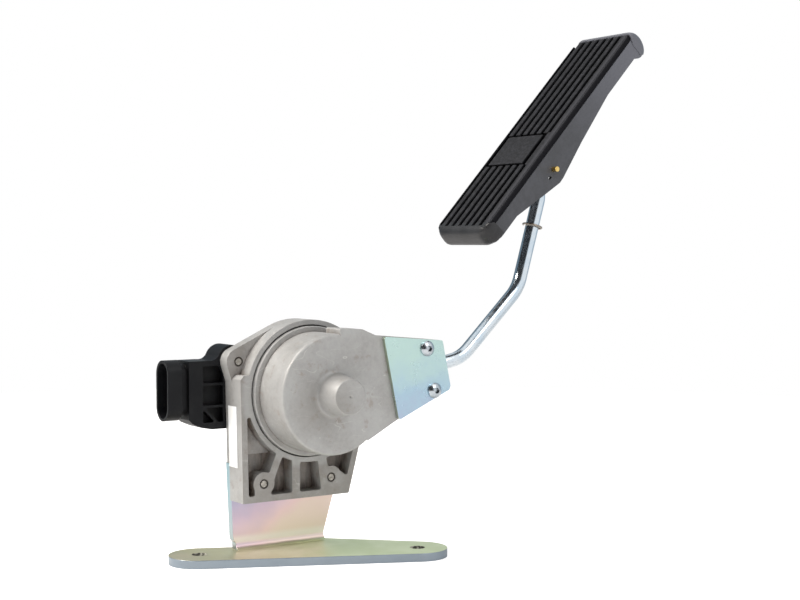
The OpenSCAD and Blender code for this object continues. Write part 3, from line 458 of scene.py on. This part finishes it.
def tread_rubber():
    """Moulded black rubber, washed and dusty: matt ribs, with painted shade that darkens the rubber below
    their tops and makes the grooves nearly black.
    """
    c = colours()
    material, tree, shader, place = begin("tread_rubber")
    at = from_pin(tree, place)
    depth = times(tree, PAD_FACE * MM, vector_math(tree, "DOT_PRODUCT", at, PAD_OUT, "Value"), "SUBTRACT")
    upward = vector_math(tree, "DOT_PRODUCT", at, PAD_ALONG, "Value")
    across = axes(tree, at)["Y"]
    scuff = spread(tree, noise(tree, place, 3, 4, 0.7), 0.4, 0.75)
    base = blend(tree, scuff, c.tread, linear("#323236"))
    # The near margin is painted paler: partly wear from feet, partly a painted highlight along its edge
    base = blend(tree, spread(tree, across, -25.5 * MM, -28 * MM, 0, 0.8), base, linear("#37373B"))
    # The rubber in front of the ribs is smoother and shines more
    smooth = spread(tree, upward, -69 * MM, -73 * MM)
    base = blend(tree, smooth, base, linear("#1D1D1F"))
    # Painted shade: the rubber darkens the deeper it lies below the rib tops, and less on the nose
    sunk = spread(tree, depth, 0.15 * MM, (GROOVE_DEPTH - 1) * MM)
    dark = times(tree, sunk, spread(tree, smooth, 0, 1, 0.93, 0.25))
    # The rubber's outer side isn't sunk, so its painted shade is lighter there
    dark = times(tree, dark, spread(tree, across, -30.4 * MM, -31.2 * MM, 1, 0.72))
    base = blend(tree, dark, base, linear("#050506"))
    # The pad's plastic shows as a paler lip round the upper end
    lip = spread(tree, upward, 130.5 * MM, 132.5 * MM)
    base = blend(tree, lip, base, linear("#5A5B61"))
    tree.links.new(base, shader.inputs["Base Color"])
    # The painted shade also takes the sheen out of the grooves
    gloss = spread(tree, smooth, 0, 1, 0.16, 0.5)
    tree.links.new(spread(tree, dark, 0, 0.7, gloss, 0.0), shader.inputs["Specular IOR Level"])
    rough = spread(tree, noise(tree, place, 2, 3), 0.3, 0.7, 0.45, 0.68)
    tree.links.new(times(tree, rough, spread(tree, smooth, 0, 1, 1, 0.7)), shader.inputs["Roughness"])
    # A pebbled mould grain of 0.8 mm
    relief(tree, shader, [(noise(tree, place, 0.8, 3, 0.6), 0.06), (noise(tree, place, 6), 0.12)])
    return material


def pad_plastic():
    """Injection moulded glass filled plastic with a fine grain, a painted sheen that makes it paler
    towards its upper end, and painted shade in its hollows.
    """
    material, tree, shader, place = begin("moulded_pad_plastic")
    upward = vector_math(tree, "DOT_PRODUCT", from_pin(tree, place), PAD_ALONG, "Value")
    drift = spread(tree, noise(tree, place, 9, 4, 0.65), 0.35, 0.7)
    base = blend(tree, drift, colours().pad, linear("#424348"))
    # Painted sheen: paler towards the pad's upper end
    base = blend(tree, spread(tree, upward, 10 * MM, 135 * MM), base, linear("#5C5D64"))
    # Painted shade in the hollows
    base = blend(tree, hollows(tree, 9, 0.8, 0.25), base, linear("#161618"))
    tree.links.new(base, shader.inputs["Base Color"])
    tree.links.new(spread(tree, noise(tree, place, 3, 3), 0.3, 0.7, 0.36, 0.52), shader.inputs["Roughness"])
    relief(tree, shader, [(noise(tree, place, 0.7), 0.03), (noise(tree, place, 8), 0.12)])
    return material


def joint_at(name):
    """The place of a joint in the frame."""
    return Vector(next(j["pos_m"] for j in frame["joints"] if j["name"] == name))


def give(material, *names):
    """Puts a material on CAD nodes."""
    for name in names:
        data = frame["nodes"][name].data
        data.materials.clear()
        data.materials.append(material)


# Finer pieces
def add_piece(name, data, body, slot, *nodes):
    """Puts a mesh in the scene as a piece that replaces CAD nodes, and rides on a body if one is given."""
    piece = bpy.data.objects.new(name, data)
    bpy.context.scene.collection.objects.link(piece)
    if body:
        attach(piece, body)
    if nodes:
        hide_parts(*nodes)
    return piece


# Angles between faces: one flat face within the first, an edge to round from the second, and a crease in
# the shading from the third
FLAT_WITHIN = math.radians(1.0)
ROUND_FROM = math.radians(28)
CREASE_FROM = math.radians(50)
ROUND_STEPS = 2


def softened_copy(node, name, radius, body, slot, material):
    """A copy of a CAD node's shape, with true round edges."""
    work = bmesh.new()
    work.from_mesh(frame["nodes"][node].data)
    bmesh.ops.remove_doubles(work, verts=work.verts, dist=0.001 * MM)
    bmesh.ops.dissolve_limit(
        work, angle_limit=FLAT_WITHIN, use_dissolve_boundaries=False, verts=work.verts, edges=work.edges)
    sharp = [e for e in work.edges if len(e.link_faces) == 2 and e.calc_face_angle(0) > ROUND_FROM]
    bmesh.ops.bevel(work, geom=sharp, offset=radius, offset_type="OFFSET", segments=ROUND_STEPS, profile=0.5,
                    affect="EDGES", clamp_overlap=True)
    bmesh.ops.triangulate(work, faces=[f for f in work.faces if len(f.verts) > 4])
    data = bpy.data.meshes.new(name)
    work.to_mesh(data)
    work.free()
    data.shade_smooth()
    data.set_sharp_from_angle(angle=CREASE_FROM)
    data.materials.append(material)
    piece = add_piece(name, data, body, slot, node)
    weighted = piece.modifiers.new("flat_faces", "WEIGHTED_NORMAL")
    weighted.keep_sharp = True
    return piece


def skin_mesh(name, rings, work):
    """A mesh closed over rings of vertices, which all have the same count."""
    count = len(rings[0])
    for first, second in zip(rings, rings[1:]):
        for k in range(count):
            m = (k + 1) % count
            work.faces.new((first[k], first[m], second[m], second[k]))
    work.faces.new(rings[0][::-1])
    work.faces.new(rings[-1])
    bmesh.ops.recalc_face_normals(work, faces=work.faces)
    data = bpy.data.meshes.new(name)
    work.to_mesh(data)
    work.free()
    data.shade_smooth()
    return data


def wire_mesh(name, points, diameter, sides):
    """A round wire along a list of points, closed at both ends."""
    work = bmesh.new()
    rings = []
    across = None
    turns = [2 * math.pi * k / sides for k in range(sides)]
    for i, point in enumerate(points):
        ahead = (points[min(i + 1, len(points) - 1)] - points[max(i - 1, 0)]).normalized()
        if across is None:
            across = ahead.orthogonal().normalized()
        across = (across - ahead * across.dot(ahead)).normalized()
        other = ahead.cross(across)
        rings.append([work.verts.new(point + (math.cos(t) * across + math.sin(t) * other) * diameter / 2)
                      for t in turns])
    return skin_mesh(name, rings, work)


def smooth_path(corners, steps):
    """A rounded path through a list of points."""
    path = []
    last = len(corners) - 1
    for i in range(last):
        p0, p1, p2, p3 = (corners[min(max(k, 0), last)] for k in (i - 1, i, i + 1, i + 2))
        for s in range(steps):
            t = s / steps
            path.append(0.5 * (2 * p1 + (p2 - p0) * t + (2 * p0 - 5 * p1 + 4 * p2 - p3) * t * t
                               + (3 * p1 - p0 - 3 * p2 + p3) * t ** 3))
    return path + [corners[-1]]


# The pad spring in millimetres from the hinge pin: its foot along the pad and out of it, the coil round
# the pin, the corners of the wire on its way down, and the loop round the rod with the way it leans
SPRING_FOOT = Vector((20, 8.9))
COIL_RADIUS = 3.5
COIL_SIDE = 10.05
COIL_WIDTH = 8
COIL_TURNS = 3
COIL_STEPS = 72
WIRE_DOWN = [(7, COIL_SIDE, -9), (12, COIL_SIDE - 1, -18), (14.2, 7.6, -27), (12.6, 6.9, -35)]
WIRE_SIDES = 12
LOOP_X, LOOP_Z = 5.92, -42.56
LOOP_RADIUS = 7.25
LOOP_LEAN = (0.96, 0.28)
LOOP_TURNS = range(48, -233, -20)


def pad_spring_path():
    """The wire's route, from its foot under the pad, round the pin and down behind the rod to its loop."""
    foot = SPRING_FOOT
    first = math.degrees(PAD_ANGLE + math.atan2(foot.y, foot.x) - math.acos(COIL_RADIUS / foot.length))
    last = math.degrees(math.atan2(WIRE_DOWN[0][2], WIRE_DOWN[0][0] - COIL_RADIUS)) + 90
    sweep = 360 * COIL_TURNS - (last - first)
    route = [(foot.x * math.cos(PAD_ANGLE) - foot.y * math.sin(PAD_ANGLE), COIL_SIDE + COIL_WIDTH,
              foot.x * math.sin(PAD_ANGLE) + foot.y * math.cos(PAD_ANGLE))]
    for i in range(COIL_STEPS + 1):
        a = math.radians(first - sweep * i / COIL_STEPS)
        side = COIL_SIDE + COIL_WIDTH - i * COIL_WIDTH / COIL_STEPS
        route.append((COIL_RADIUS * math.cos(a), side, COIL_RADIUS * math.sin(a)))
    route += WIRE_DOWN
    for turn in LOOP_TURNS:
        a = math.radians(turn)
        reach = LOOP_RADIUS * math.cos(a)
        route.append((LOOP_X + reach * LOOP_LEAN[0], LOOP_RADIUS * math.sin(a), LOOP_Z - reach * LOOP_LEAN[1]))
    pin = joint_at("pad_tilt")
    return smooth_path([pin + Vector(p) * MM for p in route], steps=4)


# The rod's corners in X and Z from the hinge pin, and the radius of each bend between them
ROD_DIAMETER = 10.5
ROD_CORNERS = ((-127.17, -155.65), (-62.13, -141.82), (-8.5, -90.8), (13.2, -17.6), (-4.2, 5.6))
ROD_BENDS = (30, 32, 12)
ROD_SIDES = 48
ARC_STEPS = 24


def rod_path():
    """The rod's axis, from inside the clamp to past the hinge pin, with a true arc at each bend."""
    pin = joint_at("pad_tilt")
    corners = [Vector((x, 0, z)) * MM + pin for x, z in ROD_CORNERS]
    path = [corners[0]]
    for before, corner, after, radius in zip(corners, corners[1:], corners[2:], ROD_BENDS):
        back, on = (before - corner).normalized(), (after - corner).normalized()
        half = back.angle(on) / 2
        reach = radius * MM / math.tan(half)
        middle = corner + (back + on).normalized() * radius * MM / math.sin(half)
        first, last = corner + back * reach - middle, corner + on * reach - middle
        for i in range(ARC_STEPS + 1):
            path.append(middle + first.slerp(last, i / ARC_STEPS).normalized() * radius * MM)
    return path + [corners[-1]]


def arc(x, y, radius, rise, degrees):
    """Points of an ellipse round a middle, at some angles."""
    return [(x + radius * math.cos(math.radians(a)), y + rise * math.sin(math.radians(a))) for a in degrees]


# The outlines of the rubber nose and of the cap's rolled end in millimetres from the hinge pin, along the
# pad and out of its face
NOSE = ([(-67.5, 13.6), (-71.6, 13.9), (-73.7, 16.85)] + arc(-72.8, 8.8, 8.1, 8.1, range(97, 181, 7))
        + [(-81.2, 6), (-80.9, 3.8), (-79.8, 1.9), (-77.8, 0.95), (-74.5, 0.7), (-67.5, 0.9)])
CAP = [(127.5, 10), (127.5, -4.2)] + arc(131.5, 5, 10.5, 10.8, range(-80, 65, 8)) + [(134, 15.3), (131.5, 12)]
# Half the pad's width, the round corners of its outline, and how the sides of an end thin out
PAD_HALF = 32.8
PAD_CORNER = 11
SIDE_ROUND = 4
SIDE_THINNING = 0.3
# A profile's points this near to its root stay where they are
ROOT_LENGTH = 2
END_STEPS = 60
END_CREASE = math.radians(55)


def end_mesh(name, profile, root, reach, middle, far_corner=PAD_CORNER):
    """An end of the pad: a profile drawn across it, with round corners at both sides.

    The profile starts at its root, goes reach beyond it, and thins out towards its middle line."""
    pin = joint_at("pad_tilt")
    work = bmesh.new()
    rings = []
    for i in range(END_STEPS + 1):
        y = -PAD_HALF * math.cos(math.pi * i / END_STEPS)
        corner = far_corner if y > 0 else PAD_CORNER
        past = max(0, abs(y) - (PAD_HALF - corner))
        front = (1 - math.sqrt(max(0, 1 - (past / corner) ** 2))) * corner
        over = max(0, abs(y) - (PAD_HALF - SIDE_ROUND)) / SIDE_ROUND
        flat = 1 - SIDE_THINNING * (1 - math.sqrt(max(0, 1 - over * over)))
        ring = []
        for s, n in profile:
            s = root + (s - root) * (reach - front) / reach if abs(s - root) > ROOT_LENGTH else s
            n = middle + (n - middle) * flat
            ring.append(work.verts.new(pin + Vector((
                s * math.cos(PAD_ANGLE) - n * math.sin(PAD_ANGLE), y,
                s * math.sin(PAD_ANGLE) + n * math.cos(PAD_ANGLE))) * MM))
        rings.append(ring)
    data = skin_mesh(name, rings, work)
    data.set_sharp_from_angle(angle=END_CREASE)
    return data


# Operators
class PEDAL_OT_castings(bpy.types.Operator):
    """Gives the housing and the lever their bare die cast finish"""
    bl_idname = "pedal.castings"
    bl_label = "Castings"

    def execute(self, context):
        give(raw_die_casting("raw_die_casting_housing", pocket_shade=0.9, front_shade=0.5), "housing")
        give(raw_die_casting("raw_die_casting_lever", pocket_shade=0.7, front_shade=0.04, boss_shadow=0.45),
             "hub_arm")
        return {"FINISHED"}


class PEDAL_OT_bracket(bpy.types.Operator):
    """Gives the folded bracket its yellow chromated zinc"""
    bl_idname = "pedal.bracket"
    bl_label = "Folded bracket"

    def execute(self, context):
        give(yellow_chromated_zinc(), "mounting_bracket")
        return {"FINISHED"}


class PEDAL_OT_rod_and_clamp(bpy.types.Operator):
    """Builds the bent rod, and the clamp plate with round edges"""
    bl_idname = "pedal.rod_and_clamp"
    bl_label = "Rod and clamp"

    def execute(self, context):
        rod = wire_mesh("bent_rod", rod_path(), ROD_DIAMETER * MM, ROD_SIDES)
        zinc = zinc_finish("clear_zinc_rod", colours().zinc, linear("#C9D8E4"), roughness=0.19, ripple_mm=16)
        rod.materials.append(zinc)
        add_piece("bent_rod", rod, "lever", "clear_zinc", "pedal_rod")
        softened_copy("clamp_plate", "clamp_plate_sheet", sizes().clamp_round, "lever", "clear_zinc",
                      clamp_zinc())
        return {"FINISHED"}


class PEDAL_OT_screws(bpy.types.Operator):
    """Finishes the screws of the clamp plate, the bracket and the sensor"""
    bl_idname = "pedal.screws"
    bl_label = "Screws"

    def execute(self, context):
        bright = plain_metal("bright_zinc_screw", linear("#C9CFD5"), linear("#B0BAC2"), 1.0, 0.22,
                             corner_shade=linear("#20252B"))
        give(bright, "clamp_screws")
        # Each pair of screws fills its box but for the heads' radius, the same for both pairs
        low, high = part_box("bracket_screws")
        head = (high.z - low.z) / 2
        ends = [(low.x + head, low.z + head), (high.x - head, low.z + head)]
        give(screw_end("dull_zinc_bracket_screw", ends), "bracket_screws")
        low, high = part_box("sensor_screws")
        ends = [(low.x + head, high.z - head), (high.x - head, low.z + head)]
        give(screw_end("dull_zinc_sensor_screw", ends), "sensor_screws")
        return {"FINISHED"}


class PEDAL_OT_foot_pad(bpy.types.Operator):
    """Builds the rubber tread with its nose, and the pad's body with its rolled cap"""
    bl_idname = "pedal.foot_pad"
    bl_label = "Foot pad"

    def execute(self, context):
        softened_copy("pad_tread", "rubber_tread", sizes().tread_round, "pad", "tread_rubber", tread_rubber())
        nose = end_mesh("rubber_nose", NOSE, root=-66, reach=15.2, middle=8)
        nose.materials.append(moulded_plastic("smooth_nose_rubber", linear("#1E1E20"), linear("#28282A"), 0.38,
                                              edge_mm=0, grain_mm=0.8, grain_depth=0.05, gloss=0.42))
        add_piece("rubber_nose", nose, "pad", "tread_rubber")
        plastic = pad_plastic()
        softened_copy("pad_body", "moulded_pad", sizes().pad_round, "pad", "pad_black", plastic)
        cap = end_mesh("moulded_cap", CAP, root=127, reach=15, middle=5, far_corner=4)
        cap.materials.append(plastic)
        add_piece("moulded_cap", cap, "pad", "pad_black")
        return {"FINISHED"}


class PEDAL_OT_hinge(bpy.types.Operator):
    """Finishes the hinge pin and its retainer, and builds the wire spring from the pad to the rod"""
    bl_idname = "pedal.hinge"
    bl_label = "Hinge and pad spring"

    def execute(self, context):
        give(plain_metal("brass_plated_pin", colours().brass, linear("#D9B463"), 1.0, 0.24), "pad_pin")
        wire = wire_mesh("pad_spring_wire", pad_spring_path(), sizes().pad_wire, WIRE_SIDES)
        wire.materials.append(plain_metal("oiled_spring_wire", linear("#A39A90"), linear("#877D73"), 1.0, 0.3))
        # The wire's loop sits on the rod and its foot under the pad, but the spring rides on no body, and its
        # place is baked into its mesh
        spring = add_piece("pad_spring_wire", wire, None, "spring_steel", "pad_spring")
        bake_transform(spring)
        washer = plain_metal("spring_steel_washer", linear("#9EA3A8"), linear("#85898E"), 1.0, 0.35)
        give(washer, "pin_retainer")
        return {"FINISHED"}


class PEDAL_OT_sensor(bpy.types.Operator):
    """Finishes the position sensor with its lid, seal, board, terminals, rotor and magnet"""
    bl_idname = "pedal.sensor"
    bl_label = "Position sensor"

    def execute(self, context):
        black = moulded_plastic("glass_filled_plastic", colours().sensor, linear("#141517"), 0.42,
                                gloss=0.17, shade_mm=8)
        give(black, "sensor_body", "sensor_cover", "sensor_rotor")
        give(moulded_plastic("epoxy_board", linear("#2F6B44"), linear("#24573A"), 0.35), "sensor_board")
        give(moulded_plastic("seal_rubber", linear("#1C1C1D"), linear("#252526"), 0.7), "sensor_seal")
        tinned = plain_metal("tinned_brass", linear("#D9C79A"), linear("#C9C5B5"), 1.0, 0.25)
        give(tinned, "connector_terminals")
        give(plain_metal("bonded_magnet", linear("#56575B"), linear("#434448"), 0.6, 0.5), "sensor_magnet")
        return {"FINISHED"}


class PEDAL_OT_bearings(bpy.types.Operator):
    """Finishes the bushes, the shaft, the washers and the clip, and builds the return springs"""
    bl_idname = "pedal.bearings"
    bl_label = "Bearings and springs"

    def execute(self, context):
        bronze = plain_metal("sintered_bronze", linear("#A9854F"), linear("#8C6C40"), 1.0, 0.45)
        give(bronze, "front_bush", "rear_bush")
        ground = plain_metal("ground_steel", linear("#C3C7CC"), linear("#AEB3B9"), 1.0, 0.2)
        give(ground, "pivot_shaft", "rear_washer")
        give(moulded_plastic("natural_nylon", linear("#DAD5C6"), linear("#CBC4AF"), 0.45), "thrust_washer")
        steel = plain_metal("oiled_spring_steel", linear("#7C8085"), linear("#5E6266"), 1.0, 0.3)
        give(steel, "retaining_clip")
        # Each return spring winds up between the housing's floor, at its rear, and the drum's face; its coil
        # is copied as it stands, on no body
        for node in ("return_spring_outer", "return_spring_inner"):
            coil = frame["nodes"][node].data.copy()
            coil.materials.clear()
            coil.materials.append(steel)
            spring = add_piece(f"{node}_wire", coil, None, "spring_steel", node)
            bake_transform(spring)
        return {"FINISHED"}


class PEDAL_OT_label(bpy.types.Operator):
    """Finishes the blank label on the housing's left wall"""
    bl_idname = "pedal.label"
    bl_label = "Blank label"

    def execute(self, context):
        give(moulded_plastic("coated_paper_label", colours().label, linear("#E9E8E4"), 0.5,
                             edge_mm=0, grain_mm=1.1, grain_depth=0.02), "label")
        return {"FINISHED"}


# Stage
CAMERA_AZIMUTH = math.radians(-34)
CAMERA_ELEVATION = math.radians(2.2)
CAMERA_PLACE = Vector((-0.5479, -0.9292, 0.2288))
CAMERA_LENS = 67.5
CAMERA_FILM = 36
CAMERA_CLIP = (0.02, 50)


def camera_back():
    """The direction from the object to the camera."""
    return Vector((math.sin(CAMERA_AZIMUTH) * math.cos(CAMERA_ELEVATION),
                   -math.cos(CAMERA_AZIMUTH) * math.cos(CAMERA_ELEVATION), math.sin(CAMERA_ELEVATION)))


def around(azimuth_deg, elevation_deg):
    """A direction, turned to the right of the camera's own direction and lifted above the horizon."""
    a, e = CAMERA_AZIMUTH + math.radians(azimuth_deg), math.radians(elevation_deg)
    return Vector((math.sin(a) * math.cos(e), -math.cos(a) * math.cos(e), math.sin(e)))


def add_camera():
    """A camera where the photograph was taken from, as far as its lines tell."""
    data = bpy.data.cameras.new("camera")
    data.lens = CAMERA_LENS
    data.sensor_width = CAMERA_FILM
    data.clip_start, data.clip_end = CAMERA_CLIP
    camera = bpy.data.objects.new("camera", data)
    bpy.context.scene.collection.objects.link(camera)
    camera.location = CAMERA_PLACE
    camera.rotation_mode = "QUATERNION"
    camera.rotation_quaternion = (-camera_back()).to_track_quat("-Z", "Y")
    bpy.context.scene.camera = camera


def add_lamp(name, azimuth_deg, elevation_deg, distance, width, watts, tint):
    """A soft square lamp that looks at the middle of the object."""
    low, high = cad_box
    data = bpy.data.lights.new(name, "AREA")
    data.size = width
    data.energy = watts
    data.color = linear(tint)
    lamp = bpy.data.objects.new(name, data)
    bpy.context.scene.collection.objects.link(lamp)
    direction = around(azimuth_deg, elevation_deg)
    lamp.location = (low + high) / 2 + direction * distance
    lamp.rotation_mode = "QUATERNION"
    lamp.rotation_quaternion = direction.to_track_quat("Z", "Y")


# The dark wall's middle in degrees to the right of the camera's own direction, its half width, and its top
# in degrees above the horizon. Its border is blurred at both sides, above and below its top, and at its foot
DARK_MIDDLE = -33
DARK_HALF = 56
DARK_TOP = 56
SIDE_BLUR = 0.06
TOP_BLUR = (0.155, 0.12)
FLOOR_BLUR = (-0.32, -0.2)
# Grey flags behind the object: middle and half width, as for the dark wall, and colour
FLAGS = ((-132, 44, "#75858F"), (140, 34, "#B9C4CE"))
FLAG_BLUR = 0.1
# The strength of the soft light from all sides
SOFT_LIGHT = 0.62


def add_world():
    """White for the camera, even for soft light, and with one dark wall of the studio in reflections."""
    world = bpy.data.worlds.new("studio")
    bpy.context.scene.world = world
    world.use_nodes = True
    tree = world.node_tree
    tree.nodes.clear()
    up = axes(tree, add_node(tree, "ShaderNodeTexCoord").outputs["Generated"])
    flat = add_node(tree, "ShaderNodeCombineXYZ", {"X": up["X"], "Y": up["Y"]})
    flat = add_node(tree, "ShaderNodeVectorMath", {0: flat.outputs[0]}, operation="NORMALIZE").outputs[0]
    edge, top = math.cos(math.radians(DARK_HALF)), math.sin(math.radians(DARK_TOP))
    toward = vector_math(tree, "DOT_PRODUCT", flat, around(DARK_MIDDLE, 0), "Value")
    wall = spread(tree, toward, edge - SIDE_BLUR, edge + SIDE_BLUR)
    below_top = spread(tree, up["Z"], top + TOP_BLUR[0], top - TOP_BLUR[1])
    dark = times(tree, times(tree, wall, below_top), spread(tree, up["Z"], *FLOOR_BLUR))
    # Grey flags stand behind the object at both sides, and draw its bright edges against the white
    seen = linear("#FFFFFF")
    for middle, half, grey in FLAGS:
        beside = vector_math(tree, "DOT_PRODUCT", flat, around(middle, 0), "Value")
        brink = math.cos(math.radians(half))
        flag = times(tree, spread(tree, beside, brink - FLAG_BLUR, brink + FLAG_BLUR), below_top)
        seen = blend(tree, flag, seen, linear(grey))
    seen = blend(tree, dark, seen, linear("#2A2A2C"))
    mirrored = add_node(tree, "ShaderNodeBackground", {"Color": seen, "Strength": 1.0})
    soft = add_node(tree, "ShaderNodeBackground", {"Color": opaque(linear("#FFFFFF")), "Strength": SOFT_LIGHT})
    white = add_node(tree, "ShaderNodeBackground", {"Color": opaque(linear("#FFFFFF")), "Strength": 1.0})
    ray = add_node(tree, "ShaderNodeLightPath")
    light = add_node(tree, "ShaderNodeMixShader", {
        0: ray.outputs["Is Glossy Ray"], 1: soft.outputs[0], 2: mirrored.outputs[0]})
    light = add_node(tree, "ShaderNodeMixShader", {
        0: ray.outputs["Is Transmission Ray"], 1: light.outputs[0], 2: white.outputs[0]})
    light = add_node(tree, "ShaderNodeMixShader", {
        0: ray.outputs["Is Camera Ray"], 1: light.outputs[0], 2: white.outputs[0]})
    add_node(tree, "ShaderNodeOutputWorld", {"Surface": light.outputs[0]})


FLOOR_RADIUS = 1.3
FLOOR_SEGMENTS = 96
# The floor lies this far under the bracket, in millimetres
FLOOR_DROP = 0.2


def add_floor():
    """A round white floor whose edge can't be told from the white beyond it."""
    work = bmesh.new()
    bmesh.ops.create_circle(work, cap_ends=True, segments=FLOOR_SEGMENTS, radius=FLOOR_RADIUS)
    bmesh.ops.translate(work, verts=work.verts, vec=(0, 0, cad_box[0].z - FLOOR_DROP * MM))
    data = bpy.data.meshes.new("studio_floor")
    work.to_mesh(data)
    work.free()
    material = bpy.data.materials.new("studio_paper")
    material.use_nodes = True
    tree = material.node_tree
    tree.nodes.clear()
    paper = add_node(tree, "ShaderNodeBsdfDiffuse", {"Color": opaque(linear("#E6E6E6"))})
    glow = add_node(tree, "ShaderNodeEmission", {"Color": opaque(linear("#FFFFFF")), "Strength": SOFT_LIGHT})
    both = add_node(tree, "ShaderNodeAddShader", {0: paper.outputs[0], 1: glow.outputs[0]})
    # Seen in the metal, the floor is the light grey that its own light gives it
    ray = add_node(tree, "ShaderNodeLightPath")
    both = add_node(tree, "ShaderNodeMixShader", {
        0: ray.outputs["Is Glossy Ray"], 1: both.outputs[0], 2: paper.outputs[0]})
    add_node(tree, "ShaderNodeOutputMaterial", {"Surface": both.outputs[0]})
    data.materials.append(material)
    floor = bpy.data.objects.new("studio_floor", data)
    bpy.context.scene.collection.objects.link(floor)


class PEDAL_OT_stage(bpy.types.Operator):
    """Sets up the white studio, its lamps and the camera"""
    bl_idname = "pedal.stage"
    bl_label = "Studio and camera"

    def execute(self, context):
        context.scene.view_settings.view_transform = "Standard"
        add_camera()
        add_world()
        add_floor()
        add_lamp("key_lamp", 38, 42, 1.3, 0.5, 4, "#FFFFFF")
        add_lamp("left_lamp", -75, 40, 1.3, 0.7, 24, "#FFF9F2")
        return {"FINISHED"}


class PEDAL_PT_panel(bpy.types.Panel):
    """Lists the pedal's pieces, sizes and colours in the sidebar"""
    bl_idname = "PEDAL_PT_panel"
    bl_label = "Accelerator pedal"
    bl_space_type = "VIEW_3D"
    bl_region_type = "UI"
    bl_category = "Pedal"

    def draw(self, context):
        for operator in OPERATORS:
            self.layout.operator(operator.bl_idname)
        for group in (context.scene.pedal_sizes, context.scene.pedal_colours):
            box = self.layout.box()
            for name in group.__annotations__:
                box.prop(group, name)


OPERATORS = (PEDAL_OT_stage, PEDAL_OT_castings, PEDAL_OT_bracket, PEDAL_OT_rod_and_clamp, PEDAL_OT_screws,
             PEDAL_OT_foot_pad, PEDAL_OT_hinge, PEDAL_OT_sensor, PEDAL_OT_bearings, PEDAL_OT_label)
CLASSES = (PedalColours, PedalSizes, *OPERATORS, PEDAL_PT_panel)


def register():
    for item in CLASSES:
        bpy.utils.register_class(item)
    bpy.types.Scene.pedal_colours = bpy.props.PointerProperty(type=PedalColours)
    bpy.types.Scene.pedal_sizes = bpy.props.PointerProperty(type=PedalSizes)


def unregister():
    del bpy.types.Scene.pedal_sizes
    del bpy.types.Scene.pedal_colours
    for item in reversed(CLASSES):
        bpy.utils.unregister_class(item)


def main():
    register()
    for operator in OPERATORS:
        family, name = operator.bl_idname.split(".")
        getattr(getattr(bpy.ops, family), name)()
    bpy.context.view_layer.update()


if __name__ == "__main__":
    main()
